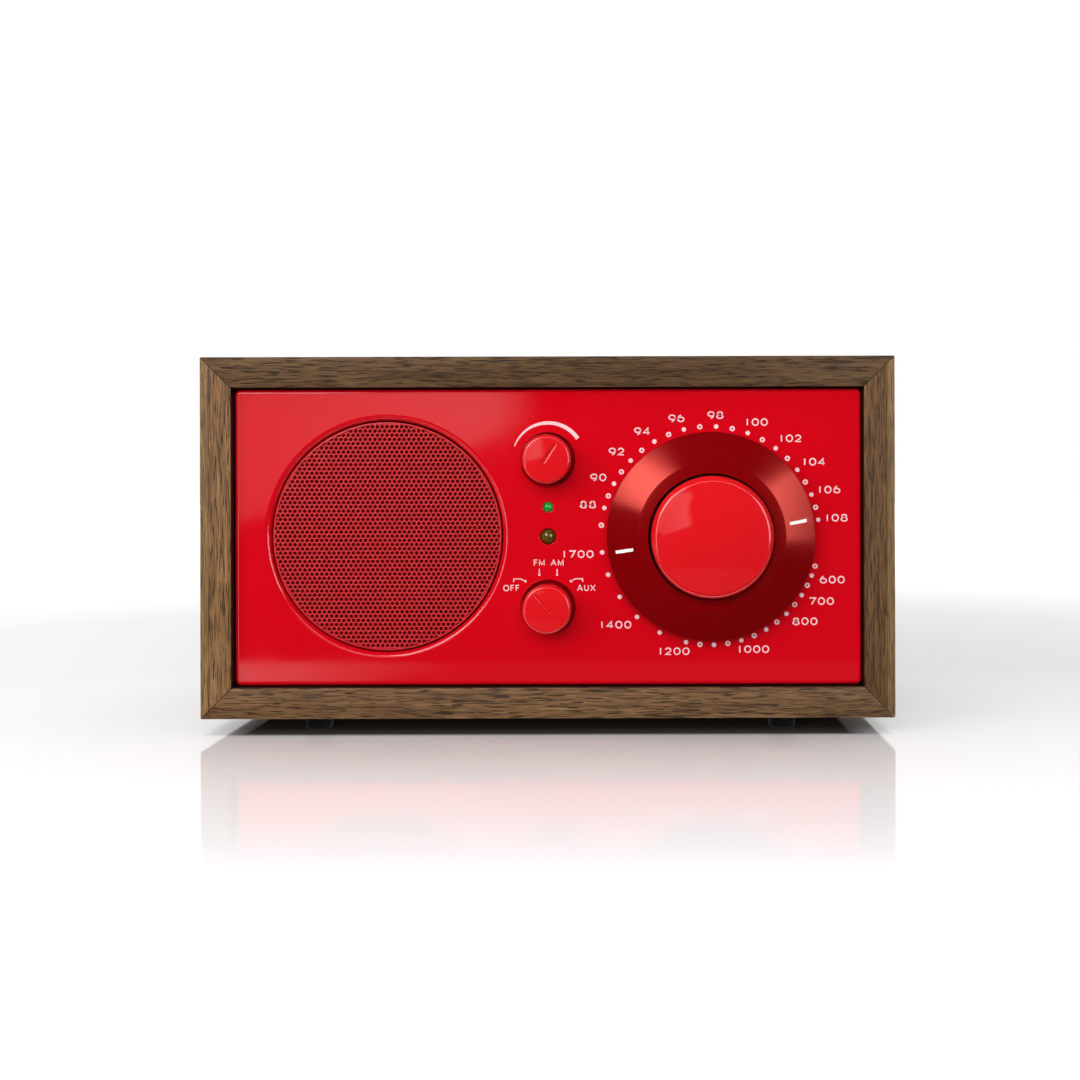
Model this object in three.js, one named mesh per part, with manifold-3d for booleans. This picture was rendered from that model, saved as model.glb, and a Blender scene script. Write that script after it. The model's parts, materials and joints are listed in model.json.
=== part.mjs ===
// A wooden table radio: four mitred boards round a red front panel, with a loudspeaker behind a
// perforated grille, two small knobs, two lamps and a large tuning dial. The tuning knob drives the
// dial through a planetary reduction, five turns to one.
//
// Millimetres. +X is to the right as seen from the front, +Y runs from front to back, +Z is up.
// The origin is on the floor, at the middle of the whole radio's width and depth.

import * as THREE from "three";
import { mergeVertices } from "three/addons/utils/BufferGeometryUtils.js";
import Module from "manifold-3d";

const wasm = await Module();
wasm.setup();

// ---------------------------------------------------------------- driving dimensions

const width = 212.7; // across the cabinet
const cabinetHeight = 110.8;
const cabinetDepth = 115;
const board = 9.4; // thickness of the wooden boards
const footHeight = 5;
const knobReach = 15.5; // the tuning knob ahead of the cabinet's front edge
const socketReach = 3; // the aerial socket behind the cabinet's back edge
const panelRecess = 3; // the front panel behind the cabinet's front edge
const rearRecess = 2.5; // the rear panel ahead of the cabinet's back edge
const panelThickness = 3;
const panelGap = 0.4; // round the front panel, and visible as a dark line
const contact = 0.1; // left between faces that are glued or clamped together

const speakerX = -49.7;
const dialX = 49.9;
const rowZ = 0.3; // heights on the panel are counted from the middle of the cabinet
const volumeZ = 23.85;
const selectorZ = -21.6;
const powerLampZ = 9.2;
const tuningLampZ = 0.15;

const speakerOpening = 35.7; // radii
const dialOpening = 24.7;
const knobWell = 8.3;

// Worked out from the ones above.
const front = -(knobReach + cabinetDepth + socketReach) / 2 + knobReach;
const back = front + cabinetDepth;
const panelFront = front + panelRecess;
const rearFace = back - rearRecess;
const rearInside = rearFace - panelThickness;
const middle = footHeight + cabinetHeight / 2;
const innerWidth = width - 2 * board;
const innerHeight = cabinetHeight - 2 * board;

// Planetary reduction: the ring gear is fixed, the knob turns the sun and the dial is the carrier.
const gear = {
  module: 0.8,
  pressureAngle: THREE.MathUtils.degToRad(25),
  addendum: 0.9, // in modules
  dedendum: 1.15,
  play: 0.14, // backlash along the pitch circle
  sun: 12,
  planet: 18,
  ring: 48,
};
const planetOrbit = ((gear.sun + gear.planet) * gear.module) / 2;
const planetAngles = [90, 210, 330];
const pointerAngle = 9.3; // of the FM pointer above the horizontal

// ---------------------------------------------------------------- materials

const finish = (color, roughness, metalness = 0) =>
  new THREE.MeshStandardMaterial({ color, roughness, metalness });
const walnut = finish(0x80624a, 0.55);
const softwood = finish(0xc9a878, 0.8);
const redGloss = finish(0xd3101c, 0.12);
const redMetal = finish(0xb5202c, 0.35, 0.4);
const redAnodised = finish(0x9c0a12, 0.3, 0.9);
const ivory = finish(0xf4ebe6, 0.4);
const blackPlastic = finish(0x1a1a1b, 0.5);
const nylon = finish(0xe8e4d8, 0.6);
const steel = finish(0xb8babd, 0.35, 0.9);
const darkIron = finish(0x3a3b3d, 0.55, 0.6);
const ferrite = finish(0x2a2a2c, 0.7);
const copper = finish(0xa8622e, 0.4, 0.8);
const brass = finish(0xc8a24a, 0.35, 0.9);
const rubber = finish(0x232324, 0.85);
const paper = finish(0x26231f, 0.9);
const circuitGreen = finish(0x1d5a34, 0.5);
const greenLens = finish(0x1f7a34, 0.15);
const amberLens = finish(0x4a3410, 0.15);

// ---------------------------------------------------------------- shape helpers

// A solid of revolution about Y. The profile is a list of [radius, y] that ends on the axis at both
// ends or goes round a ring; its direction doesn't matter.
function turned(profile, segments) {
  const points = profile.map(([r, y]) => new THREE.Vector2(r, y));
  if (THREE.ShapeUtils.area(points) < 0) points.reverse();
  if (profile[0][0] > 0 || profile.at(-1)[0] > 0) points.push(points[0].clone());
  return new THREE.LatheGeometry(points, segments);
}

// The same about Z: the profile is a list of [radius, z].
const upright = (profile, segments) => turned(profile, segments).rotateX(Math.PI / 2);

// Points along a quarter or half round, for use in a profile. Angles are in degrees.
function arc(r, y, radius, from, to, steps) {
  return Array.from({ length: steps + 1 }, (_, i) => {
    const a = THREE.MathUtils.degToRad(from + ((to - from) * i) / steps);
    return [r + radius * Math.cos(a), y + radius * Math.sin(a)];
  });
}

// A cylinder or a tube along Y between two depths.
const rod = (r, y0, y1, segments = 24) =>
  turned([[0, y0], [r, y0], [r, y1], [0, y1]], segments);
const tube = (inner, outer, y0, y1, segments = 32) =>
  turned([[inner, y0], [outer, y0], [outer, y1], [inner, y1]], segments);

// An upright plate, drawn as a shape in X and Z and filling y0 to y1.
const plate = (shape, y0, y1, curveSegments = 8) =>
  new THREE.ExtrudeGeometry(shape, { depth: y1 - y0, bevelEnabled: false, curveSegments })
    .rotateX(Math.PI / 2)
    .translate(0, y1, 0);

// A block between two corners.
const block = ([x0, y0, z0], [x1, y1, z1]) =>
  new THREE.BoxGeometry(x1 - x0, y1 - y0, z1 - z0).translate(
    (x0 + x1) / 2,
    (y0 + y1) / 2,
    (z0 + z1) / 2,
  );

function roundedRectangle(w, h, r) {
  const shape = new THREE.Shape();
  shape.absarc(w / 2 - r, h / 2 - r, r, 0, Math.PI / 2);
  shape.absarc(-w / 2 + r, h / 2 - r, r, Math.PI / 2, Math.PI);
  shape.absarc(-w / 2 + r, -h / 2 + r, r, Math.PI, 1.5 * Math.PI);
  shape.absarc(w / 2 - r, -h / 2 + r, r, 1.5 * Math.PI, 2 * Math.PI);
  return shape;
}

const circle = (r) => new THREE.Shape().absarc(0, 0, r, 0, 2 * Math.PI);

const polygon = (points) => new THREE.Shape(points.map(([x, y]) => new THREE.Vector2(x, y)));

const hexagon = (acrossFlats) =>
  polygon(
    Array.from({ length: 6 }, (_, i) => {
      const a = (i * Math.PI) / 3;
      const r = acrossFlats / Math.sqrt(3);
      return [r * Math.cos(a), r * Math.sin(a)];
    }),
  );

// ---------------------------------------------------------------- booleans

function solidOf(geometry) {
  const bare = geometry.index ? geometry.toNonIndexed() : geometry.clone();
  bare.deleteAttribute("normal");
  bare.deleteAttribute("uv");
  const merged = mergeVertices(bare, 1e-4);
  return new wasm.Manifold(
    new wasm.Mesh({
      numProp: 3,
      vertProperties: merged.attributes.position.array,
      triVerts: new Uint32Array(merged.index.array),
    }),
  );
}

function geometryOf(solid) {
  const mesh = solid.getMesh();
  return new THREE.BufferGeometry()
    .setAttribute("position", new THREE.BufferAttribute(mesh.vertProperties, 3))
    .setIndex(new THREE.BufferAttribute(mesh.triVerts, 1));
}

const cut = (body, ...tools) =>
  geometryOf(tools.reduce((left, tool) => left.subtract(solidOf(tool)), solidOf(body)));
const join = (...bodies) =>
  geometryOf(bodies.map(solidOf).reduce((whole, next) => whole.add(next)));

// ---------------------------------------------------------------- gears

// The outline of an involute gear as [x, z] points, with a tooth on +X. tipRadius and rootRadius
// swap their meaning for the hole of a ring gear, whose play is negative.
function gearOutline(teeth, tipRadius, rootRadius, play) {
  const pitchRadius = (teeth * gear.module) / 2;
  const baseRadius = pitchRadius * Math.cos(gear.pressureAngle);
  const involute = (angle) => Math.tan(angle) - angle;
  const atPitch = Math.PI / (2 * teeth) - play / (2 * pitchRadius);
  const halfTooth = (r) =>
    atPitch + involute(gear.pressureAngle) - involute(Math.acos(Math.min(1, baseRadius / r)));
  const flank = [rootRadius, tipRadius];
  if (teeth < 15) flank.splice(1, 0, baseRadius, pitchRadius); // a small gear's flanks curve more
  const points = [];
  for (let tooth = 0; tooth < teeth; tooth++) {
    const centre = (tooth * 2 * Math.PI) / teeth;
    const put = (r, side) => {
      const a = centre + side * halfTooth(r);
      points.push([r * Math.cos(a), r * Math.sin(a)]);
    };
    flank.forEach((r) => put(r, -1));
    [...flank].reverse().forEach((r) => put(r, 1));
  }
  return points;
}

function toothed(teeth) {
  const pitchRadius = (teeth * gear.module) / 2;
  const tip = pitchRadius + gear.addendum * gear.module;
  const root = pitchRadius - gear.dedendum * gear.module;
  return polygon(gearOutline(teeth, tip, root, gear.play));
}

// ---------------------------------------------------------------- assembly helpers

const radio = new THREE.Group();

// Adds a named mesh to a group, at a place in that group.
function add(group, name, geometry, material, [x, y, z] = [0, 0, 0]) {
  const mesh = new THREE.Mesh(geometry, material);
  mesh.name = name;
  mesh.position.set(x, y, z);
  group.add(mesh);
  return mesh;
}

// A group whose own origin is on the front panel's surface, dx and dz from the cabinet's middle.
function groupOnPanel(dx, dz) {
  const group = new THREE.Group();
  group.position.set(dx, panelFront, middle + dz);
  radio.add(group);
  return group;
}

// A pan head screw along Y whose head's underside is at y = 0, with the shank towards -Y.
const screw = (headRadius, headHeight, shankRadius, length) =>
  turned(
    [
      [0, -length],
      [shankRadius, -length + shankRadius],
      [shankRadius, 0],
      [headRadius, 0],
      [headRadius * 0.8, headHeight],
      [0, headHeight],
    ],
    10,
  );

// ---------------------------------------------------------------- cabinet

const portX = -66;
const portY = 32;
const portOuter = 9.6;
const portBore = 7.8;
const cleatSize = 9;
const cleatX = innerWidth / 2 - cleatSize / 2 - contact;
const rearScrewZ = 37;

function buildCabinet() {
  const cabinet = new THREE.Group();
  cabinet.position.z = middle;
  radio.add(cabinet);

  // A board's end section, mitred at 45 degrees; mitre is half of the glue line.
  const mitre = 0.07;
  const boardOf = (outerHalf, outerLevel) => {
    const innerHalf = outerHalf - board;
    const innerLevel = outerLevel - board;
    return polygon([
      [-innerHalf + mitre, innerLevel],
      [innerHalf - mitre, innerLevel],
      [outerHalf - mitre, outerLevel],
      [-outerHalf + mitre, outerLevel],
    ]);
  };
  const across = plate(boardOf(width / 2, cabinetHeight / 2), front, back);
  const upwards = plate(boardOf(cabinetHeight / 2, width / 2), front, back);
  const portHole = upright(
    [
      [0, -cabinetHeight],
      [portOuter + 0.3, -cabinetHeight],
      [portOuter + 0.3, 0],
      [0, 0],
    ],
    28,
  ).translate(portX, portY, 0);
  add(cabinet, "cabinet_top", across, walnut);
  add(cabinet, "cabinet_bottom", cut(across.clone().rotateY(Math.PI), portHole), walnut);
  add(cabinet, "cabinet_right", upwards.clone().rotateY(Math.PI / 2), walnut);
  add(cabinet, "cabinet_left", upwards.clone().rotateY(-Math.PI / 2), walnut);

  // Battens behind the rear panel's edges, which its screws go into.
  const cleatBack = rearInside - contact;
  const cleat = block(
    [-cleatSize / 2, cleatBack - cleatSize - 3, -innerHeight / 2 + 1],
    [cleatSize / 2, cleatBack, innerHeight / 2 - 1],
  );
  const pilots = [-1, 1].map((up) => rod(1.6, cleatBack - 11, cleatBack + 1, 12).translate(0, 0, up * rearScrewZ));
  const drilled = cut(cleat, ...pilots);
  add(cabinet, "cleat_left", drilled, softwood, [-cleatX, 0, 0]);
  add(cabinet, "cleat_right", drilled, softwood, [cleatX, 0, 0]);

  // A flared tube that opens under the cabinet and tunes the loudspeaker's bass.
  const portTop = 46;
  const flare = 1.8;
  const floorLevel = -cabinetHeight / 2;
  const port = upright(
    [
      [portBore + flare * 0.7, floorLevel],
      [portOuter, floorLevel],
      [portOuter, floorLevel + portTop],
      [portBore, floorLevel + portTop],
      [portBore, floorLevel + flare * 2],
    ],
    28,
  );
  add(cabinet, "bass_port", port, blackPlastic, [portX, portY, 0]);
}

function buildFeet() {
  const footX = 73;
  const footInset = 15; // from the front and back edges to a foot's middle
  const radius = 4.2;
  const foot = upright(
    [
      [0, 0],
      [radius - 0.6, 0],
      [radius, 0.6],
      [radius, footHeight - contact / 2],
      [0, footHeight - contact / 2],
    ],
    16,
  );
  for (const [side, x] of [["left", -footX], ["right", footX]])
    for (const [end, y] of [["front", front + footInset], ["rear", back - footInset]])
      add(radio, `foot_${end}_${side}`, foot, rubber, [x, y, 0]);
}

// ---------------------------------------------------------------- front panel

const wellDepth = 7; // from the panel's surface to the back of a knob well's floor
const wellFloor = 2;
const bush = 4.4; // radius of the potentiometer's and the switch's threaded bush
const driverScrew = 32.5; // from the loudspeaker's middle, in X and in Z
const lampRadius = { power: 1.5, tuning: 2.4 };

function buildFrontPanel() {
  const panel = groupOnPanel(0, 0);
  const sheet = plate(
    roundedRectangle(innerWidth - 2 * panelGap, innerHeight - 2 * panelGap, 1.2),
    0,
    panelThickness,
    4,
  );
  const wellWall = 1.5;
  const wells = [volumeZ, selectorZ].map((z) =>
    rod(knobWell + wellWall, 1, wellDepth, 20).translate(0, 0, z),
  );
  const holes = [
    rod(speakerOpening, -1, 9, 48).translate(speakerX, 0, rowZ),
    rod(dialOpening, -1, 9, 36).translate(dialX, 0, rowZ),
    rod(lampRadius.power + 0.1, -1, 9, 12).translate(0, 0, powerLampZ),
    rod(lampRadius.tuning + 0.1, -1, 9, 12).translate(0, 0, tuningLampZ),
    ...[volumeZ, selectorZ].flatMap((z) => [
      rod(knobWell, -1, wellDepth - wellFloor, 28).translate(0, 0, z),
      rod(bush + 0.2, 0, wellDepth + 1, 16).translate(0, 0, z),
    ]),
    ...[-1, 1].flatMap((sx) =>
      [-1, 1].map((sz) =>
        rod(1.4, 0.8, panelThickness + 1, 8).translate(
          speakerX + sx * driverScrew,
          0,
          rowZ + sz * driverScrew,
        ),
      ),
    ),
  ];
  add(panel, "front_panel", cut(join(sheet, ...wells), ...holes), redGloss);

  // The grille is a shallow pressed dish; its perforations are too fine to be cut here.
  const grilleRadius = speakerOpening - 0.4;
  const grille = turned(
    [
      [0, 1],
      [grilleRadius - 0.4, 1],
      [grilleRadius, 1.4],
      [grilleRadius, 2.9],
      [grilleRadius - 0.9, 2.9],
      [grilleRadius - 0.9, 1.8],
      [0, 1.8],
    ],
    40,
  );
  add(panel, "speaker_grille", grille, redMetal, [speakerX, 0, rowZ]);

  // Lamps: a clear barrel with a domed end, held by a collar behind the panel.
  const lamp = (radius, reach) =>
    turned(
      [
        ...arc(0, radius - reach, radius, -90, 0, 3),
        [radius, panelThickness + contact],
        [radius + 0.6, panelThickness + contact],
        [radius + 0.6, panelThickness + 1.2],
        [0, panelThickness + 1.2],
      ],
      12,
    );
  add(panel, "power_lamp", lamp(lampRadius.power, 0.5), greenLens, [0, 0, powerLampZ]);
  add(panel, "tuning_lamp", lamp(lampRadius.tuning, 0.8), amberLens, [0, 0, tuningLampZ]);
}

// ---------------------------------------------------------------- loudspeaker

function buildLoudspeaker() {
  const speaker = groupOnPanel(speakerX, rowZ);
  const seat = panelThickness + contact; // the frame's flange against the panel's back
  const flangeSide = 77;
  const flangeThickness = 1.2;
  const surroundOuter = 36.1;
  const coneEdge = 31.2;
  const neck = 10.4; // the cone's small end
  const plateFront = 25; // where the magnet system begins

  // Pressed frame: a square flange, a dish with four windows, and a back plate.
  const flange = plate(roundedRectangle(flangeSide, flangeSide, 8), seat, seat + flangeThickness, 3);
  const dish = turned(
    [
      [surroundOuter + 0.2, seat],
      [surroundOuter + 1.6, seat],
      [surroundOuter + 1.6, 7],
      [22.6, 21.5],
      [22.6, plateFront - 0.2],
      [11.5, plateFront - 0.2],
      [11.5, plateFront - 1.2],
      [21.6, plateFront - 1.2],
      [21.6, 21],
      [34.2, 7.6],
      [34.2, 6.1],
      [surroundOuter + 0.2, 6.1],
    ],
    28,
  );
  const windows = [0, 1].map((turn) =>
    block([-8.5, 9.5, -60], [8.5, 20, 60]).rotateY((turn * Math.PI) / 2 + Math.PI / 4),
  );
  const throat = rod(surroundOuter + 0.2, seat - 1, seat + 2, 28);
  const flangeHoles = [-1, 1].flatMap((sx) =>
    [-1, 1].map((sz) => rod(1.8, 0, 9, 8).translate(sx * driverScrew, 0, sz * driverScrew)),
  );
  const basket = cut(join(cut(flange, throat), dish), ...windows, ...flangeHoles);
  add(speaker, "driver_basket", basket, darkIron);
  let count = 1;
  for (const sx of [-1, 1])
    for (const sz of [-1, 1])
      add(
        speaker,
        `driver_screw_${count++}`,
        screw(2.6, 1.7, 1.25, 3.2),
        steel,
        [sx * driverScrew, seat + flangeThickness + contact, sz * driverScrew],
      );

  // Rubber half roll between the frame's seat and the cone's edge.
  const rollMiddle = (coneEdge + 34.4) / 2 + 0.6;
  const roll = 1.9;
  const skin = 0.5;
  const surround = turned(
    [
      [surroundOuter, 6],
      [surroundOuter, 6 - skin],
      ...arc(rollMiddle, 6 - skin, roll, 0, -180, 4),
      [coneEdge - 1.2, 6 - skin],
      [coneEdge - 1.2, 6],
      [rollMiddle - roll + skin, 6],
      ...arc(rollMiddle, 6, roll - skin, -180, 0, 4),
    ],
    28,
  );
  add(speaker, "driver_surround", surround, rubber);

  const coneBack = 18.2;
  const cone = turned(
    [
      [coneEdge, 6.1],
      [coneEdge, 6.7],
      [neck + 0.7, coneBack],
      [neck - 0.6, coneBack],
      [neck - 0.6, coneBack - 0.6],
      [coneEdge - 1.3, 6.1],
    ],
    28,
  );
  add(speaker, "driver_cone", cone, paper);
  const capRadius = 17;
  const capCentre = 27.8;
  const dustCap = turned(
    [
      ...arc(0, capCentre, capRadius, -90, -45, 3),
      ...arc(0, capCentre, capRadius - 0.6, -45, -90, 3),
    ],
    20,
  );
  add(speaker, "driver_dust_cap", dustCap, paper);

  // The coil's former runs in the gap between the pole and the top plate.
  add(speaker, "voice_coil", tube(9.5, 10.1, coneBack + contact, 33, 20), copper);
  const ridges = 5;
  const spiderWave = Array.from({ length: ridges + 1 }, (_, i) => [
    10.4 + (10.9 * i) / ridges,
    20.6 + 0.4 * (-1) ** i,
  ]);
  const spider = turned(
    [...spiderWave, ...spiderWave.map(([r, y]) => [r, y + 0.5]).reverse()],
    20,
  );
  add(speaker, "driver_spider", spider, paper);

  const poleRadius = 9;
  add(speaker, "driver_top_plate", tube(10.7, 19.5, plateFront, plateFront + 4, 24), steel);
  add(speaker, "driver_magnet", tube(13, 22.5, plateFront + 4 + contact, plateFront + 13, 24), ferrite);
  const yoke = turned(
    [
      [0, plateFront],
      [poleRadius, plateFront],
      [poleRadius, plateFront + 13 + contact],
      [19.5, plateFront + 13 + contact],
      [19.5, plateFront + 17],
      [0, plateFront + 17],
    ],
    24,
  );
  add(speaker, "driver_yoke", yoke, steel);
}

// ---------------------------------------------------------------- volume and source controls

const shaftRadius = 3;
const smallKnob = { radius: 7.6, reach: 10, edge: 1.4 };

// The two small knobs are alike: a cap with a rounded edge and a shallow groove from its middle
// to its rim, pointing up.
function smallKnobGeometry() {
  const { radius, reach, edge } = smallKnob;
  const body = turned(
    [
      [0, -reach],
      ...arc(radius - edge, edge - reach, edge, -90, 0, 3),
      [radius, 2],
      [shaftRadius + 0.1, 2],
      [shaftRadius + 0.1, -6.2],
      [0, -6.2],
    ],
    28,
  );
  const groove = block([-0.3, -reach - 1, -0.6], [0.3, 0.35 - reach, radius - edge]);
  return cut(body, groove);
}

// Shaft, and a body behind the panel whose threaded bush and nut clamp the well's floor.
function buildRotary(z, names, bodyGeometry, pointerTurn) {
  const group = groupOnPanel(0, z);
  const knob = add(group, names.knob, smallKnobGeometry(), redGloss);
  knob.rotation.y = pointerTurn;
  add(group, names.shaft, rod(shaftRadius, -6, 10, 16), steel);
  const nutBack = wellDepth - wellFloor - contact;
  const nut = plate(hexagon(11), nutBack - 2, nutBack);
  const neck = rod(bush, nutBack - 2.4, wellDepth + 2, 16);
  const bore = rod(shaftRadius + 0.12, -1, 10.4, 16);
  add(group, names.body, cut(join(bodyGeometry, neck, nut), bore), steel);
}

function buildControls() {
  const bodyFront = wellDepth + contact;
  const potentiometer = join(
    rod(8, bodyFront, bodyFront + 7, 20),
    block([-5.5, bodyFront + 3, -13], [5.5, bodyFront + 5, -2]),
  );
  const volumeTurn = THREE.MathUtils.degToRad(33);
  buildRotary(
    volumeZ,
    { knob: "volume_knob", shaft: "volume_shaft", body: "volume_potentiometer" },
    potentiometer,
    volumeTurn,
  );
  const wafer = join(
    rod(9.6, bodyFront, bodyFront + 3, 20),
    block([-6.5, bodyFront + 1, -6.5], [6.5, bodyFront + 10, 6.5]),
  );
  const sourceTurn = THREE.MathUtils.degToRad(-40);
  buildRotary(
    selectorZ,
    { knob: "source_knob", shaft: "source_shaft", body: "source_switch" },
    wafer,
    sourceTurn,
  );
}

// ---------------------------------------------------------------- tuning dial

function buildTuning() {
  const tuning = groupOnPanel(dialX, rowZ);
  const knobRadius = 18.4;
  const knobEdge = 2.2;
  const knobFront = -(knobReach + panelRecess);
  const ring = { outer: 31.8, rim: 5.5, inner: 22.4, crown: 9.5, bore: 19.15, back: 1 };
  const hub = { radius: 30, front: -3.2, back: -1.2 };
  const pinRadius = 1.5;
  const gearFront = 2;
  const gearBack = 5.8;

  // Gloss cap on the sun gear's shaft.
  const knob = turned(
    [
      [0, knobFront],
      ...arc(knobRadius - knobEdge, knobFront + knobEdge, knobEdge, -90, 0, 3),
      [knobRadius, -3.9],
      [knobRadius - 2, -3.9],
      [knobRadius - 2, knobFront + 3],
      [6, knobFront + 3],
      [6, -4.4],
      [shaftRadius + 0.1, -4.4],
      [shaftRadius + 0.1, -16.2],
      [0, -16.2],
    ],
    36,
  );
  add(tuning, "tuning_knob", knob, redGloss);
  const sun = join(
    rod(shaftRadius, -16, gearFront + 0.5, 20),
    plate(toothed(gear.sun), gearFront, gearBack),
    rod(2, gearBack - 0.5, 7.6, 16),
  );
  add(tuning, "sun_gear", sun, brass);

  // The dial is a bevelled ring with two inlaid pointers, on a hub whose pins carry the planets.
  const bevel = turned(
    [
      [ring.outer, -ring.back],
      [ring.outer, -ring.rim],
      [ring.inner, -ring.crown],
      [ring.bore, -ring.crown],
      [ring.bore, hub.front - contact],
      [hub.radius + contact, hub.front - contact],
      [hub.radius + contact, -ring.back],
    ],
    44,
  );
  const slope = Math.atan2(ring.crown - ring.rim, ring.outer - ring.inner);
  const bar = { length: 5.75, width: 0.95, depth: 0.6, middle: 26.75 };
  // A bar on the bevel, along its slope, with its face flush; grow widens it on every side.
  const onBevel = (turn, grow) => {
    const rise = ring.crown - (bar.middle - ring.inner) * Math.tan(slope);
    return new THREE.BoxGeometry(bar.length + 2 * grow, bar.depth + 2 * grow, bar.width + 2 * grow)
      .translate(0, bar.depth / 2, 0)
      .rotateZ(slope)
      .translate(bar.middle, -rise, 0)
      .rotateY(-turn);
  };
  const fmTurn = THREE.MathUtils.degToRad(pointerAngle);
  const turns = { pointer_fm: fmTurn, pointer_am: fmTurn + Math.PI };
  const slots = Object.values(turns).map((turn) => onBevel(turn, 0.3));
  add(tuning, "dial_ring", cut(bevel, ...slots), redAnodised);
  for (const [name, turn] of Object.entries(turns)) add(tuning, name, onBevel(turn, 0), ivory);

  const around = (geometry, angle, orbit = planetOrbit) => {
    const a = THREE.MathUtils.degToRad(angle);
    return geometry.clone().translate(orbit * Math.cos(a), 0, orbit * Math.sin(a));
  };
  const pins = planetAngles.map((angle) => around(rod(pinRadius, -2, 7.9, 12), angle));
  const disc = tube(shaftRadius + 0.25, hub.radius, hub.front, hub.back, 32);
  add(tuning, "dial_hub", join(disc, ...pins), blackPlastic);

  const planet = toothed(gear.planet);
  planet.holes.push(circle(pinRadius + 0.15));
  const planetFace = plate(planet, gearFront, gearBack, 6);
  const halfTooth = Math.PI / gear.planet;
  planetAngles.forEach((angle, i) => {
    const a = THREE.MathUtils.degToRad(angle);
    const place = [planetOrbit * Math.cos(a), 0, planetOrbit * Math.sin(a)];
    const mesh = add(tuning, `planet_gear_${i + 1}`, planetFace, nylon, place);
    mesh.rotation.y = -(a + halfTooth); // a gap between teeth faces the sun's tooth
  });
  const pinHoles = planetAngles.map((angle) => around(rod(pinRadius + 0.15, 6, 9, 12), angle));
  const carrier = cut(
    join(rod(15.5, 6.6, 8.2, 24), rod(4, 8, 19, 14)),
    rod(2.2, 6, 8.1, 12),
    ...pinHoles,
  );
  add(tuning, "planet_carrier", carrier, blackPlastic);

  // Fixed ring gear inside a cup that is fastened to the panel's back.
  const ringPitch = (gear.ring * gear.module) / 2;
  const ringOuter = 22.4;
  const teethHole = new THREE.Path(
    gearOutline(
      gear.ring,
      ringPitch + gear.dedendum * gear.module,
      ringPitch - gear.addendum * gear.module,
      -gear.play,
    ).map(([x, z]) => {
      const half = Math.PI / gear.ring;
      return new THREE.Vector2(x, z).rotateAround(new THREE.Vector2(), half);
    }),
  );
  const ringShape = circle(ringOuter);
  ringShape.holes.push(teethHole);
  add(tuning, "ring_gear", plate(ringShape, 1.6, 6.2, 14), nylon);
  const cupBack = 10.8;
  const cup = turned(
    [
      [ringOuter + contact, 0.4],
      [dialOpening - 0.5, 0.4],
      [dialOpening - 0.5, panelThickness + contact],
      [29, panelThickness + contact],
      [29, 4.8],
      [dialOpening - 0.5, 4.8],
      [dialOpening - 0.5, cupBack],
      [7, cupBack],
      [7, 15],
      [4.15, 15],
      [4.15, cupBack - 1.6],
      [21.5, cupBack - 1.6],
      [21.5, 6.3],
      [ringOuter + contact, 6.3],
    ],
    28,
  );
  add(tuning, "gear_housing", cup, blackPlastic);
  const capacitor = cut(
    join(block([-11, 15.1, -11], [11, 27, 11]), block([-3, 26, -8], [3, 30, 8])),
    rod(4.2, 14, 20, 20),
  );
  add(tuning, "tuning_capacitor", capacitor, nylon);
}

// ---------------------------------------------------------------- electronics and rear panel

const rearParts = {
  aerial: { x: -62, z: 22, radius: 4.7 },
  aerialSwitch: { x: -28, z: 22, travel: 4 },
  pairButton: { x: 60, z: 22, radius: 2.9 },
  inlet: { x: -62, z: -24, w: 21, h: 13 },
  jacks: { x: 30, z: -24, pitch: 15, radius: 3.9 },
};
const jackPlaces = [-2, -1, 0, 1, 2];

// The outline of two overlapping circles, as a figure-of-eight mains socket has.
function figureEight(spread, r) {
  const waist = Math.acos(spread / r);
  const shape = new THREE.Shape();
  shape.absarc(spread, 0, r, waist - Math.PI, Math.PI - waist);
  shape.absarc(-spread, 0, r, waist, 2 * Math.PI - waist);
  return shape;
}

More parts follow.
